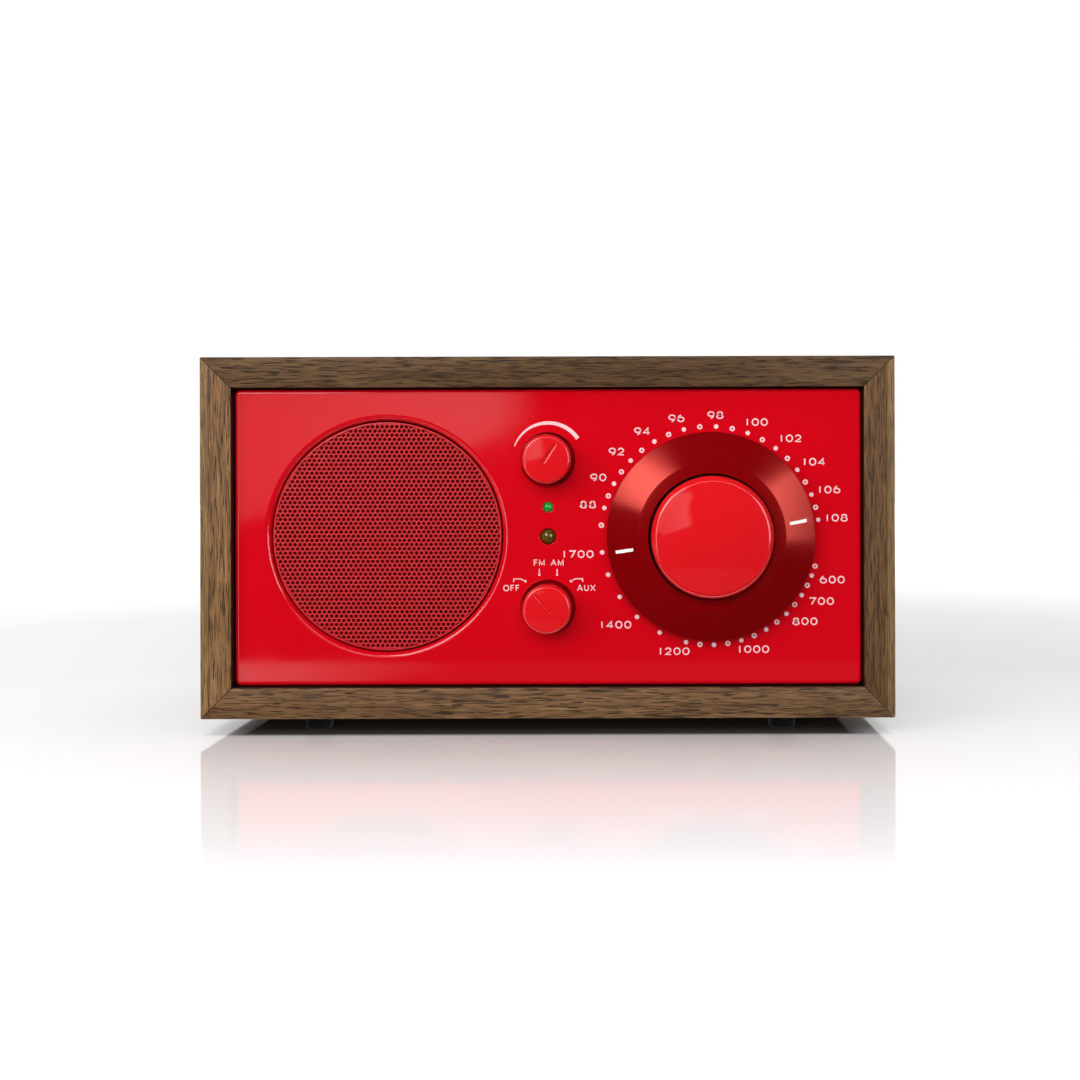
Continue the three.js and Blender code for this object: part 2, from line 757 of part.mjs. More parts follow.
function buildRearPanel() {
  const rear = new THREE.Group();
  rear.position.set(0, rearFace, middle); // depths count from the rear panel's outer face
  radio.add(rear);
  const { aerial, aerialSwitch, pairButton, inlet, jacks } = rearParts;
  const inside = -panelThickness;
  const deep = inside - 1;

  const sheet = plate(roundedRectangle(innerWidth - 0.8, innerHeight - 0.8, 1), inside, 0, 3);
  const switchSlot = { w: aerialSwitch.travel + 4.6, h: 4.2 };
  const holes = [
    rod(aerial.radius + 0.2, deep, 1, 16).translate(aerial.x, 0, aerial.z),
    rod(pairButton.radius + 0.2, deep, 1, 16).translate(pairButton.x, 0, pairButton.z),
    block(
      [aerialSwitch.x - switchSlot.w / 2, deep, aerialSwitch.z - switchSlot.h / 2],
      [aerialSwitch.x + switchSlot.w / 2, 1, aerialSwitch.z + switchSlot.h / 2],
    ),
    block(
      [inlet.x - inlet.w / 2 - 0.2, deep, inlet.z - inlet.h / 2 - 0.2],
      [inlet.x + inlet.w / 2 + 0.2, 1, inlet.z + inlet.h / 2 + 0.2],
    ),
    ...jackPlaces.map((i) =>
      rod(jacks.radius + 0.2, deep, 1, 12).translate(jacks.x + i * jacks.pitch, 0, jacks.z),
    ),
    ...[-1, 1].flatMap((sx) =>
      [-1, 1].map((sz) => rod(1.8, deep, 1, 10).translate(sx * cleatX, 0, sz * rearScrewZ)),
    ),
  ];
  add(rear, "rear_panel", cut(sheet, ...holes), blackPlastic);
  let count = 1;
  for (const sx of [-1, 1])
    for (const sz of [-1, 1])
      add(rear, `rear_screw_${count++}`, screw(3.2, 2, 1.4, 12), steel, [
        sx * cleatX,
        contact,
        sz * rearScrewZ,
      ]);

  // Aerial socket: a threaded barrel with a hexagonal shoulder behind the panel.
  const barrel = join(
    rod(aerial.radius, -12, rearRecess + socketReach, 16),
    plate(hexagon(12), inside - 2.6, inside - contact),
  );
  const coreHole = rod(1.1, -4, rearRecess + socketReach + 1, 10);
  add(rear, "aerial_socket", cut(barrel, coreHole), brass, [aerial.x, 0, aerial.z]);

  // Slider that picks the inner or the outer aerial; it rests at its left stop.
  const slider = join(
    block([-2, inside - 0.6, -1.8], [2, 1.4, 1.8]),
    block([-7.5, inside - 1.8, -3.4], [7.5, inside - 0.4, 3.4]),
  );
  const sliderRest = aerialSwitch.x - aerialSwitch.travel / 2;
  add(rear, "aerial_switch", slider, ivory, [sliderRest, 0, aerialSwitch.z]);

  const button = turned(
    [
      [0, 1.5],
      [pairButton.radius - 0.3, 1.5],
      [pairButton.radius, 1.2],
      [pairButton.radius, inside - 0.3],
      [pairButton.radius + 1, inside - 0.3],
      [pairButton.radius + 1, inside - 1.5],
      [1.5, inside - 1.5],
      [1.5, inside - 5],
      [0, inside - 5],
    ],
    16,
  );
  add(rear, "pair_button", button, ivory, [pairButton.x, 0, pairButton.z]);

  // Mains inlet: a flanged moulding with a figure-of-eight recess and two pins.
  const moulding = join(
    block([-inlet.w / 2, -16, -inlet.h / 2], [inlet.w / 2, 0.5, inlet.h / 2]),
    plate(roundedRectangle(inlet.w + 4, inlet.h + 3, 1.5), contact, 1.4, 3),
  );
  const recess = plate(figureEight(3.9, 4.8), -12, 3, 5);
  const pinSpread = 4.3;
  const pins = [-1, 1].map((side) => rod(1.2, -13, -2, 12).translate(side * pinSpread, 0, 0));
  add(rear, "mains_inlet", join(cut(moulding, recess), ...pins), blackPlastic, [inlet.x, 0, inlet.z]);

  // Row of sockets moulded as one strip: four for sound and one for 12 volts.
  const strip = block([-2.5 * jacks.pitch, -15, -6], [2.5 * jacks.pitch, inside - contact, 6]);
  const collars = jackPlaces.map((i) => rod(jacks.radius, -14, 1, 12).translate(i * jacks.pitch, 0, 0));
  const bores = jackPlaces.map((i) =>
    rod(i === 2 ? 2.9 : 1.8, -12, 2, 10).translate(i * jacks.pitch, 0, 0),
  );
  const centrePin = rod(1, -13, 0, 8).translate(2 * jacks.pitch, 0, 0);
  add(rear, "socket_strip", join(cut(join(strip, ...collars), ...bores), centrePin), blackPlastic, [
    jacks.x,
    0,
    jacks.z,
  ]);
}

function buildElectronics() {
  const chassis = new THREE.Group();
  chassis.position.set(0, 0, middle);
  radio.add(chassis);
  const boardBack = rearFace - 15 - contact; // the socket strip stands on the board
  const boardFront = boardBack - 1.6;
  const circuitBoard = block([-34, boardFront, -36], [80, boardBack, 36]);
  add(chassis, "main_board", circuitBoard, circuitGreen);
  const rodRadius = 4.5;
  const rodY = boardFront - rodRadius - contact;
  const ferriteRod = rod(rodRadius, -42, 42, 16).rotateZ(Math.PI / 2);
  add(chassis, "ferrite_rod", ferriteRod, ferrite, [22, rodY, 30]);

  // Mains transformer: a laminated core on the cabinet's floor, with its coil round the middle limb.
  const floorLevel = -innerHeight / 2 + contact;
  const core = plate(
    polygon([
      [-22, 0],
      [22, 0],
      [22, 36],
      [-22, 36],
    ]),
    -9,
    9,
  );
  const coil = block([-16, -15, 6], [16, 15, 30]);
  add(chassis, "power_transformer", join(core, coil), darkIron, [46, 8, floorLevel]);
}

buildCabinet();
buildFeet();
buildFrontPanel();
buildLoudspeaker();
buildControls();
buildTuning();
buildRearPanel();
buildElectronics();

export default radio;
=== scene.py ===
# The look of a wooden table radio with a glossy red front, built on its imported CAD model.
# Blender 4.5. Object places are in metres and shapes in millimetres, in the CAD model's frame:
# +X to the right as seen from the front, +Y to the back, +Z up.

import json
import math

import bmesh
import bpy
from mathutils import Matrix, Vector
from mathutils.geometry import delaunay_2d_cdt


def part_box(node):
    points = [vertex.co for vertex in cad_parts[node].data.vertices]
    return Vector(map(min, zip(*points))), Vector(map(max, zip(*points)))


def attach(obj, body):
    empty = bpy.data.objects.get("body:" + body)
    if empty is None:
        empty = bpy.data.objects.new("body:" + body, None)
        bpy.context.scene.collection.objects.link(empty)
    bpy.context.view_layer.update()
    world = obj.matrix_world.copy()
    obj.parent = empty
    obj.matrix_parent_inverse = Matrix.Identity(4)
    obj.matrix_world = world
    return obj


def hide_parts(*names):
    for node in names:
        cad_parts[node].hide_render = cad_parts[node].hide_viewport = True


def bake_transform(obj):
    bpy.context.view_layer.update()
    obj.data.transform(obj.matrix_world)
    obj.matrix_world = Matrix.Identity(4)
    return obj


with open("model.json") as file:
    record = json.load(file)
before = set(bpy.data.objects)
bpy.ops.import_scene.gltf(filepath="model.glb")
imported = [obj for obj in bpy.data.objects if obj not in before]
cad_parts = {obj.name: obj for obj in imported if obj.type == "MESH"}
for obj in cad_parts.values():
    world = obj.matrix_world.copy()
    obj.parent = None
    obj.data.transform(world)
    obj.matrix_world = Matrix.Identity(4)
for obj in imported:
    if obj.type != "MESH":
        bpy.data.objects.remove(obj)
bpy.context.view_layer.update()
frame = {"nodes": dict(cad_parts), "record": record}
MM = 0.001

# ---- places, from the CAD model


def middle_of(node):
    low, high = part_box(node)
    return (low + high) / 2


case_low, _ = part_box("cabinet_bottom")
_, case_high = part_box("cabinet_top")
panel_low, panel_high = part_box("front_panel")
CASE_MIDDLE = Vector(((case_low.x + case_high.x) / 2, case_low.y, (case_low.z + case_high.z) / 2))
CASE_SIZE = case_high - case_low
PANEL_FRONT = panel_low.y


def on_panel(node):
    """The point on the panel's surface in front of a node's middle."""
    centre = middle_of(node)
    return Vector((centre.x, PANEL_FRONT, centre.z))


PANEL = on_panel("front_panel")
SPEAKER = on_panel("speaker_grille")
DIAL = on_panel("dial_ring")
VOLUME = on_panel("volume_knob")
SOURCE = on_panel("source_knob")

# ---- driving dimensions, millimetres

# A lip or an edge is the radius of a rounding.
BOARD_EDGE = 0.55
MITRE_EDGE = 0.12
EDGING = 2.4  # width of the strip along the side boards' outer edges
FOOT_EDGE = 0.8

PANEL_THICKNESS = 3.0
PANEL_CORNER = 1.7  # radius of its outline's corners
PANEL_EDGE = 1.2
FLAT_MARGIN = 0.25  # an even border between the flat face and a rounding
SPEAKER_HOLE = 35.7
SPEAKER_LIP = 1.8
DIAL_HOLE = 24.7
DIAL_LIP = 0.3
KNOB_WELL = 8.3
WELL_LIP = 0.5
WELL_DEPTH = 5.0
CUP_WALL = 1.5
SHAFT_HOLE = 4.6
LAMP_HOLES = {"power_lamp": 1.65, "tuning_lamp": 2.5}
LAMP_LIP = 0.15
LAMP_CLEARANCE = 0.12

GRILLE_RADIUS = 35.25
GRILLE_DEPTH = 1.0  # behind the panel's surface
GRILLE_SHEET = 0.7
GRILLE_RIM = 0.2
HOLE_PITCH = 1.5
HOLE_RADIUS = 0.6
HOLE_LIP = 0.07
HOLE_SIDES = 12

SURROUND_OUTER = 36.1
SURROUND_MIDDLE = 33.4
SURROUND_INNER = 30.0
SURROUND_SEAT = 5.5  # behind the panel's surface
SURROUND_ROLL = 1.9
SURROUND_SKIN = 0.5

SMALL_KNOB_RADIUS = 7.5
SMALL_KNOB_REACH = 10.0  # of its rim, in front of the panel
TUNING_RADIUS = 18.4
TUNING_REACH = 18.5
BEVEL_OUTER = 31.8
BEVEL_INNER = 22.4
BEVEL_LOW = -5.5  # the bevel's outer and inner edges, in front of the panel
BEVEL_HIGH = -9.5
DIAL_BORE = 19.15
POINTER_SIZE = (5.75, 0.6, 0.95)
SLOT_CLEARANCE = 0.16

SCALE_RADIUS = 33.65  # of the circle that the dial's dots stand on
LABEL_RADIUS = 36.3  # of the circle that the labels' near corners touch
LABEL_RADIUS_UP = 36.0
LABEL_RADIUS_DOWN = 35.3
DOT_RADIUS = 0.69
RING_RADIUS = 0.56
RING_STROKE = 0.5
DIGIT_WIDTH = 2.2
DIGIT_HEIGHT = 2.35
DIGIT_GAP = 0.55
DIGIT_STROKE = 0.38
LETTER_WIDTH = 2.1
LETTER_HEIGHT = 1.95
LETTER_GAP = 0.42
LETTER_STROKE = 0.28
MARK_STROKE = 0.3
PRINT_RELIEF = 0.03

VOLUME_TURN = 33  # the small knobs' grooves, degrees clockwise from straight up
SOURCE_TURN = -40


# ---- colours and node helpers


def srgb(r, g, b):
    """An sRGB colour of 0 to 255 as linear light, with alpha."""
    channels = []
    for value in (r, g, b):
        c = value / 255
        channels.append(c / 12.92 if c <= 0.04045 else ((c + 0.055) / 1.055) ** 2.4)
    return (*channels, 1.0)


class Nodes:
    """A short way to write the node tree of a new material or world."""

    def __init__(self, owner):
        owner.use_nodes = True
        self.owner = owner
        self.tree = owner.node_tree

    def add(self, kind, inputs=None, **settings):
        node = self.tree.nodes.new("ShaderNode" + kind)
        for key, value in settings.items():
            setattr(node, key, value)
        for key, value in (inputs or {}).items():
            self.set(node, key, value)
        return node

    def set(self, node, key, value):
        socket = node.inputs[key]
        if isinstance(value, bpy.types.NodeSocket):
            self.tree.links.new(value, socket)
        else:
            socket.default_value = value

    def surface(self, **inputs):
        """Sets the material's shader and gives the material."""
        shader = self.tree.nodes["Principled BSDF"]
        for key, value in inputs.items():
            self.set(shader, key.replace("_", " "), value)
        return self.owner

    def place(self, scale=(1, 1, 1)):
        """Object coordinates in metres, scaled."""
        where = self.add("TexCoord").outputs["Object"]
        return self.add("Mapping", {"Vector": where, "Scale": scale}).outputs["Vector"]

    def noise(self, vector, scale, detail=2.0, roughness=0.5, distortion=0.0):
        inputs = {"Vector": vector, "Scale": scale, "Detail": detail}
        inputs |= {"Roughness": roughness, "Distortion": distortion}
        return self.add("TexNoise", inputs).outputs["Fac"]

    def ramp(self, value, *stops):
        """Colours at places from 0 to 1, smoothly joined."""
        node = self.add("ValToRGB", {"Fac": value})
        node.color_ramp.interpolation = "EASE"
        elements = node.color_ramp.elements
        while len(elements) < len(stops):
            elements.new(0.5)
        for element, (place, colour) in zip(elements, stops):
            element.position = place
            element.color = colour
        return node.outputs["Color"]

    def span(self, value, from_low, from_high, low, high, kind="LINEAR"):
        """Low to high as the value goes from from_low to from_high, and no further."""
        inputs = {"Value": value, "From Min": from_low, "From Max": from_high}
        inputs |= {"To Min": low, "To Max": high}
        return self.add("MapRange", inputs, interpolation_type=kind).outputs["Result"]

    def mix(self, factor, a, b, kind="MIX"):
        node = self.add("Mix", {0: factor}, data_type="RGBA", blend_type=kind)
        self.set(node, 6, a)
        self.set(node, 7, b)
        return node.outputs[2]

    def math(self, operation, *values):
        return self.add("Math", dict(enumerate(values)), operation=operation).outputs[0]

    def axis(self, vector, letter):
        return self.add("SeparateXYZ", {"Vector": vector}).outputs[letter]

    def length(self, vector):
        return self.add("VectorMath", {0: vector}, operation="LENGTH").outputs["Value"]

    def bump(self, height, strength, distance, normal=None):
        inputs = {"Height": height, "Strength": strength, "Distance": distance}
        if normal:
            inputs["Normal"] = normal
        return self.add("Bump", inputs).outputs["Normal"]


def new_material(name):
    return Nodes(bpy.data.materials.new(name))


# ---- materials


def walnut(name, grain, seed, tone, inward):
    """Oiled walnut whose grain runs along X (grain 0) or Z (grain 2), with painted shade on the faces
    that look into the case.
    """
    n = new_material(name)

    def along_grain(stretch, shift):
        scale = [1.0, 1.0, 1.0]
        scale[grain] = stretch
        offset = (shift, shift * 0.7, shift * 1.3)
        return n.add("VectorMath", {0: n.place(scale=scale), 1: offset}).outputs[0]

    # Broad bands, then growth lines that wander, then fibres.
    bands = n.noise(along_grain(0.06, seed), scale=110, detail=2, distortion=0.4)
    lines = n.noise(along_grain(0.045, seed), scale=900, detail=3, roughness=0.6, distortion=0.3)
    fibres = n.noise(along_grain(0.04, seed), scale=2900, detail=2, roughness=0.6)
    colour = n.ramp(
        lines,
        (0.3, srgb(134, 107, 74)),
        (0.45, srgb(152, 121, 85)),
        (0.58, srgb(166, 134, 97)),
        (0.75, srgb(178, 146, 108)),
    )
    shade = n.ramp(bands, (0.32, srgb(216, 208, 198)), (0.62, srgb(255, 254, 250)))
    colour = n.mix(1.0, colour, shade, "MULTIPLY")
    fibre_shade = n.ramp(fibres, (0.32, srgb(176, 166, 158)), (0.6, srgb(255, 255, 255)))
    colour = n.mix(0.65, colour, fibre_shade, "MULTIPLY")
    # Pores: short dark dashes along the grain, crowded where the growth lines are dark.
    pores = n.noise(along_grain(0.045, seed * 2), scale=3800, detail=0)
    crowd = n.span(lines, 0.35, 0.65, 0.05, -0.03)
    open_pore = n.span(n.math("ADD", pores, crowd), 0.6, 0.63, 0.0, 1.0)
    colour = n.mix(n.span(open_pore, 0, 1, 0, 0.88), colour, srgb(56, 40, 24))
    colour = n.mix(1.0, colour, (*(tone * c for c in (1, 0.86, 0.75)), 1), "MULTIPLY")
    # The side boards are edged: a fine seam, and a paler strip outside it.
    if grain == 2:
        across = n.math("ABSOLUTE", n.axis(n.place(), "X"))
        off = n.math("SUBTRACT", across, CASE_SIZE.x / 2 - EDGING * MM)
        line = n.math("ABSOLUTE", off)
        colour = n.mix(n.span(line, 0.00005, 0.00022, 0.6, 0), colour, srgb(40, 28, 16))
        colour = n.mix(n.span(off, 0, 0.0001, 0, 0.16), colour, srgb(150, 126, 84))
    # Painted shade: faces that look into the case, the reveal round the panel among them, are
    # darkened to near black.
    facing = n.add("TexCoord").outputs["Normal"]
    facing = n.add("VectorMath", {0: facing, 1: inward}, operation="DOT_PRODUCT").outputs["Value"]
    colour = n.mix(n.span(facing, 0.6, 0.95, 0, 1), colour, srgb(30, 10, 5))
    normal = n.bump(fibres, 0.15, 0.0001)
    normal = n.bump(n.span(open_pore, 0, 1, 1, 0), 0.5, 0.00012, normal)
    return n.surface(
        Base_Color=colour,
        Roughness=n.span(fibres, 0.3, 0.7, 0.5, 0.62),
        Specular_IOR_Level=0.35,
        Normal=normal,
    )


def lacquer(name, colour, waviness):
    """Polished red: an even colour under a clear mirror-like coat that isn't perfectly flat."""
    n = new_material(name)
    where = n.place()
    cloud = n.noise(where, scale=9, detail=1)
    swell = n.noise(where, scale=14, detail=0)
    return n.surface(
        Base_Color=n.ramp(cloud, (0.3, colour), (0.8, tuple(0.94 * c for c in colour[:3]) + (1,))),
        Roughness=n.span(n.noise(where, scale=60), 0.3, 0.7, 0.05, 0.09),
        Specular_IOR_Level=0.5,
        Normal=n.bump(swell, 1.0, waviness),
    )


def painted_mesh(name):
    """Satin red paint on perforated sheet."""
    n = new_material(name)
    where = n.place()
    speckle = n.noise(where, scale=5000, detail=2)
    return n.surface(
        Base_Color=n.ramp(speckle, (0.3, srgb(180, 28, 34)), (0.7, srgb(198, 42, 48))),
        Roughness=n.span(speckle, 0.3, 0.7, 0.26, 0.34),
        Normal=n.bump(speckle, 0.2, 0.00002),
    )


def anodised(name):
    """Red dye in anodised aluminium, turned about Y, so its highlights fan out from the middle."""
    n = new_material(name)
    where = n.place()
    from_axis = n.add("VectorMath", {0: where, 1: (1, 0, 1)}, operation="MULTIPLY").outputs[0]
    along = {"W": n.length(from_axis), "Scale": 9000.0, "Detail": 2.0}
    lathe = n.add("TexNoise", along, noise_dimensions="1D").outputs["Fac"]
    tangent = n.add("Tangent", direction_type="RADIAL", axis="Y")
    return n.surface(
        Base_Color=n.ramp(lathe, (0.3, srgb(114, 0, 5)), (0.7, srgb(122, 0, 6))),
        IOR=2.3,
        Specular_Tint=(1.0, 0.17, 0.13, 1.0),
        Roughness=n.span(lathe, 0.3, 0.7, 0.2, 0.24),
        Anisotropic=0.8,
        Anisotropic_Rotation=0.25,
        Tangent=tangent.outputs["Tangent"],
        Normal=n.bump(lathe, 0.05, 0.00001),
    )


def grained(name, colour, roughness, metallic=0.0, scale=900, relief=0.00002, spread=0.12):
    """A plain material with fine grain in its colour, gloss and surface."""
    n = new_material(name)
    speckle = n.noise(n.place(), scale=scale, detail=3)
    dark = tuple(c * (1 - spread) for c in colour[:3]) + (1,)
    light = tuple(min(1, c * (1 + spread)) for c in colour[:3]) + (1,)
    return n.surface(
        Base_Color=n.ramp(speckle, (0.3, dark), (0.7, light)),
        Metallic=metallic,
        Roughness=n.span(speckle, 0.3, 0.7, roughness * 0.88, min(1, roughness * 1.12)),
        Normal=n.bump(speckle, 0.35, relief),
    )


def softwood(name):
    """Planed pine, its grain upright."""
    n = new_material(name)
    rings = n.noise(n.place(scale=(1, 1, 0.05)), scale=260, detail=3, distortion=0.5)
    return n.surface(
        Base_Color=n.ramp(rings, (0.3, srgb(176, 132, 84)), (0.7, srgb(216, 182, 134))),
        Roughness=n.span(rings, 0.3, 0.7, 0.7, 0.85),
        Normal=n.bump(rings, 0.3, 0.00005),
    )


def lens(name, colour, glow):
    """Tinted clear plastic with a faint cloudiness inside."""
    n = new_material(name)
    cloud = n.noise(n.place(), scale=1400, detail=2)
    dark = tuple(c * 0.5 for c in colour[:3]) + (1,)
    return n.surface(
        Base_Color=n.ramp(cloud, (0.35, dark), (0.65, colour)),
        Roughness=n.span(cloud, 0.3, 0.7, 0.04, 0.08),
        Coat_Weight=1.0,
        Coat_Roughness=0.02,
        Emission_Color=colour,
        Emission_Strength=glow,
    )


MATERIALS = {
    "walnut": walnut("walnut_top", 0, 3.1, 0.33, (0, 0, -1)),
    "walnut_bottom": walnut("walnut_bottom", 0, 8.4, 0.49, (0, 0, 1)),
    "walnut_left": walnut("walnut_left", 2, 5.2, 0.67, (1, 0, 0)),
    "walnut_right": walnut("walnut_right", 2, 11.7, 0.5, (-1, 0, 0)),
    "softwood": softwood("softwood"),
    "red_gloss": lacquer("red_lacquer", srgb(190, 3, 19), 0.00008),
    "red_knob": lacquer("red_knob_gloss", srgb(202, 19, 26), 0.00001),
    "red_mesh": painted_mesh("red_painted_mesh"),
    "cloth": grained("speaker_cloth", srgb(88, 3, 7), 0.95, scale=4000, relief=0.0001, spread=0.4),
    "red_anodised": anodised("red_anodised"),
    "ivory": grained("ivory", srgb(248, 236, 232), 0.35, scale=600),
    "print": grained("screen_print", srgb(222, 184, 186), 0.5, scale=3000, relief=0.000004),
    "rubber": grained("rubber", srgb(13, 13, 13), 0.85, scale=1500, relief=0.00005),
    "black_plastic": grained("black_plastic", srgb(30, 30, 31), 0.5, scale=2600, relief=0.00004),
    "nylon": grained("nylon", srgb(226, 220, 204), 0.5, scale=500),
    "steel": grained("zinc_plate", srgb(186, 188, 192), 0.3, 1.0, scale=1200),
    "dark_iron": grained("blackened_steel", srgb(52, 54, 56), 0.45, 0.5, scale=1500),
    "ferrite": grained("ferrite", srgb(44, 44, 46), 0.65, scale=1100, relief=0.00005),
    "copper": grained("copper_winding", srgb(176, 104, 62), 0.35, 1.0, scale=1500),
    "brass": grained("brass", srgb(202, 166, 84), 0.28, 1.0, scale=1400),
    "cone_paper": grained("cone_paper", srgb(30, 28, 26), 0.9, scale=1800, relief=0.00008),
    "circuit_board": grained("solder_resist", srgb(24, 92, 52), 0.4, scale=700),
    "green_lens": lens("green_lens", srgb(20, 150, 50), 0.25),
    "amber_lens": lens("amber_lens", srgb(92, 74, 16), 0.0),
}

# ---- mesh helpers


def new_object(name, data, at=(0, 0, 0)):
    obj = bpy.data.objects.new(name, data)
    bpy.context.scene.collection.objects.link(obj)
    obj.location = at
    return obj


def smooth_below(bm, sharp_angle):
    """Smooth shading, but for the edges that turn more than the angle."""
    limit = math.radians(sharp_angle)
    for face in bm.faces:
        face.smooth = True
    for edge in bm.edges:
        edge.smooth = len(edge.link_faces) == 2 and edge.calc_face_angle(0) < limit


def finish_mesh(bm, name, sharp_angle):
    """A mesh in metres, made from one in millimetres."""
    bmesh.ops.remove_doubles(bm, verts=bm.verts, dist=1e-4)
    bmesh.ops.dissolve_degenerate(bm, edges=bm.edges, dist=1e-4)
    bmesh.ops.recalc_face_normals(bm, faces=bm.faces)
    smooth_below(bm, sharp_angle)
    bmesh.ops.scale(bm, vec=(MM, MM, MM), verts=bm.verts)
    mesh = bpy.data.meshes.new(name)
    bm.to_mesh(mesh)
    bm.free()
    return mesh


def piece(name, shape, material, body, at, replaces=(), sharp_angle=32, bends=None):
    """An object from (vertices, faces) in millimetres about a point, riding on a CAD body.

    A piece given bends, as (other body, start y, end y), is put on no body: its place is baked into
    its mesh.
    """
    bm = bmesh.new()
    vertices = [bm.verts.new(v) for v in shape[0]]
    for face in shape[1]:
        if len(set(face)) > 2:
            bm.faces.new([vertices[i] for i in dict.fromkeys(face)])
    obj = new_object(name, finish_mesh(bm, name, sharp_angle), at)
    obj.data.materials.append(MATERIALS[material])
    if bends:
        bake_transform(obj)
    else:
        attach(obj, body)
    if replaces:
        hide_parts(*replaces)
    return obj


def joined(*shapes):
    """Several (vertices, faces) as one."""
    vertices, faces = [], []
    for v, f in shapes:
        start = len(vertices)
        vertices += v
        faces += [tuple(i + start for i in face) for face in f]
    return vertices, faces


def moved(shape, dx, dz):
    return [(x + dx, y, z + dz) for x, y, z in shape[0]], shape[1]


def turned(profile, segments, closed=False):
    """A profile of (radius, y) turned about Y. Points of no radius become one vertex."""
    vertices, rows = [], []
    for r, y in profile:
        if r < 1e-6:
            vertices.append((0, y, 0))
            rows.append([len(vertices) - 1] * segments)
            continue
        row = []
        for i in range(segments):
            a = 2 * math.pi * i / segments
            vertices.append((r * math.cos(a), y, r * math.sin(a)))
            row.append(len(vertices) - 1)
        rows.append(row)
    faces = []
    for low, high in zip(rows, rows[1:] + rows[:1] if closed else rows[1:]):
        for i in range(segments):
            j = (i + 1) % segments
            faces.append((low[i], low[j], high[j], high[i]))
    return vertices, faces


def arc(r, y, radius, start, end, steps=8):
    """Points (radius, y) along a rounding, for use in a profile. Angles are in degrees."""
    points = []
    for i in range(steps + 1):
        a = math.radians(start + (end - start) * i / steps)
        points.append((r + radius * math.cos(a), y + radius * math.sin(a)))
    return points


def crown(flat, apex, dome, steps):
    """Points (radius, y) of a shallow dome from its middle out to a radius."""
    radii = [flat * i / steps for i in range(steps + 1)]
    return [(r, apex + dome - math.sqrt(dome**2 - r**2)) for r in radii]


def circle_points(radius, count, cx, cz):
    """Points round a circle, each with the direction away from its middle."""
    points = []
    for i in range(count):
        a = 2 * math.pi * i / count
        c, s = math.cos(a), math.sin(a)
        points.append(((cx + radius * c, cz + radius * s), (c, s)))
    return points


def rounded_rectangle_points(w, h, r, steps=8):
    """Points round a rectangle with rounded corners, each with its outward direction."""
    points = []
    for corner, (sx, sz) in enumerate(((1, 1), (-1, 1), (-1, -1), (1, -1))):
        for i in range(steps + 1):
            a = math.radians(90 * corner + 90 * i / steps)
            c, s = math.cos(a), math.sin(a)
            points.append(((sx * (w / 2 - r) + r * c, sz * (h / 2 - r) + r * s), (c, s)))
    return points


def drilled_sheet(outline, outline_edge, holes, thickness):
    """A sheet in X and Z with rounded front edges. A hole is (points, rounding)."""
    loops = [(outline, outline_edge, 1)] + [(points, edge, -1) for points, edge in holes]
    vertices, faces, front, back = [], [], [], []
    steps = 10
    for points, edge, side in loops:
        rows = []
        # A flat margin keeps the face's own normal flat, then the rounding, then the back.
        rounding = [math.radians(90 * k / steps) for k in range(steps + 1)]
        section = [(-edge - FLAT_MARGIN, 0)]
        section += [(edge * (math.sin(a) - 1), edge * (1 - math.cos(a))) for a in rounding]
        section.append((0, thickness))
        for shift, y in section:
            grow = side * shift
            row = []
            for (x, z), (nx, nz) in points:
                vertices.append((x + nx * grow, y, z + nz * grow))
                row.append(len(vertices) - 1)
            rows.append(row)
        for low, high in zip(rows, rows[1:]):
            for i in range(len(points)):
                j = (i + 1) % len(points)
                faces.append((low[i], low[j], high[j], high[i]))
        front.append(rows[0])
        back.append(rows[-1])
    return vertices, faces + flat_faces(vertices, front) + flat_faces(vertices, back)


def flat_faces(vertices, rings):
    """Faces that fill the first ring of vertices and leave the others open."""
    flat = [Vector((vertices[i][0], vertices[i][2])) for ring in rings for i in ring]
    original = [(i, owner) for owner, ring in enumerate(rings) for i in ring]
    regions, start = [], 0
    for ring in rings:
        order = list(range(start, start + len(ring)))
        regions.append(order if start == 0 else order[::-1])
        start += len(ring)
    result = delaunay_2d_cdt(flat, [], regions, 1, 1e-6)
    inputs = [original[sources[0]] for sources in result[3]]
    faces = []
    for face in result[2]:
        owners = {inputs[i][1] for i in face}
        # A face with all its corners on one hole's edge lies in that hole.
        if len(owners) > 1 or 0 in owners:
            faces.append(tuple(inputs[i][0] for i in face))
    return faces


def carved(obj, *cutters, sharp_angle):
    """Cuts shapes, in millimetres about the object's own place, out of it."""
    for cutter in cutters:
        mesh = bpy.data.meshes.new("cutter")
        mesh.from_pydata([Vector(v) * MM for v in cutter[0]], [], cutter[1])
        bm = bmesh.new()
        bm.from_mesh(mesh)
        bmesh.ops.recalc_face_normals(bm, faces=bm.faces)
        bm.to_mesh(mesh)
        bm.free()
        tool = new_object("cutter", mesh)
        tool.matrix_world = obj.matrix_world.copy()
        cut = obj.modifiers.new("cut", "BOOLEAN")
        cut.operation = "DIFFERENCE"
        cut.object = tool
        cut.solver = "EXACT"
        bpy.context.view_layer.update()
        evaluated = obj.evaluated_get(bpy.context.evaluated_depsgraph_get())
        result = bpy.data.meshes.new_from_object(evaluated)
        obj.modifiers.clear()
        obj.data = result
        bpy.data.objects.remove(tool)
    bm = bmesh.new()
    bm.from_mesh(obj.data)
    for face in bm.faces:
        face.material_index = 0
    smooth_below(bm, sharp_angle)
    bm.to_mesh(obj.data)
    bm.free()


def round_groove(start, end, radius, turn, y):
    """A round bar with ball ends, along a line turn degrees clockwise from straight up."""
    outline = arc(start, 0, radius, 180, 90, 6) + arc(end, 0, radius, 90, 0, 6)
    bar, faces = turned([(max(0.0, out), along) for along, out in outline], 20)
    a = math.radians(turn)
    c, s = math.cos(a), math.sin(a)
    vertices = [
        (along * s + across * c, y + deep, along * c - across * s) for across, along, deep in bar
    ]
    return vertices, faces


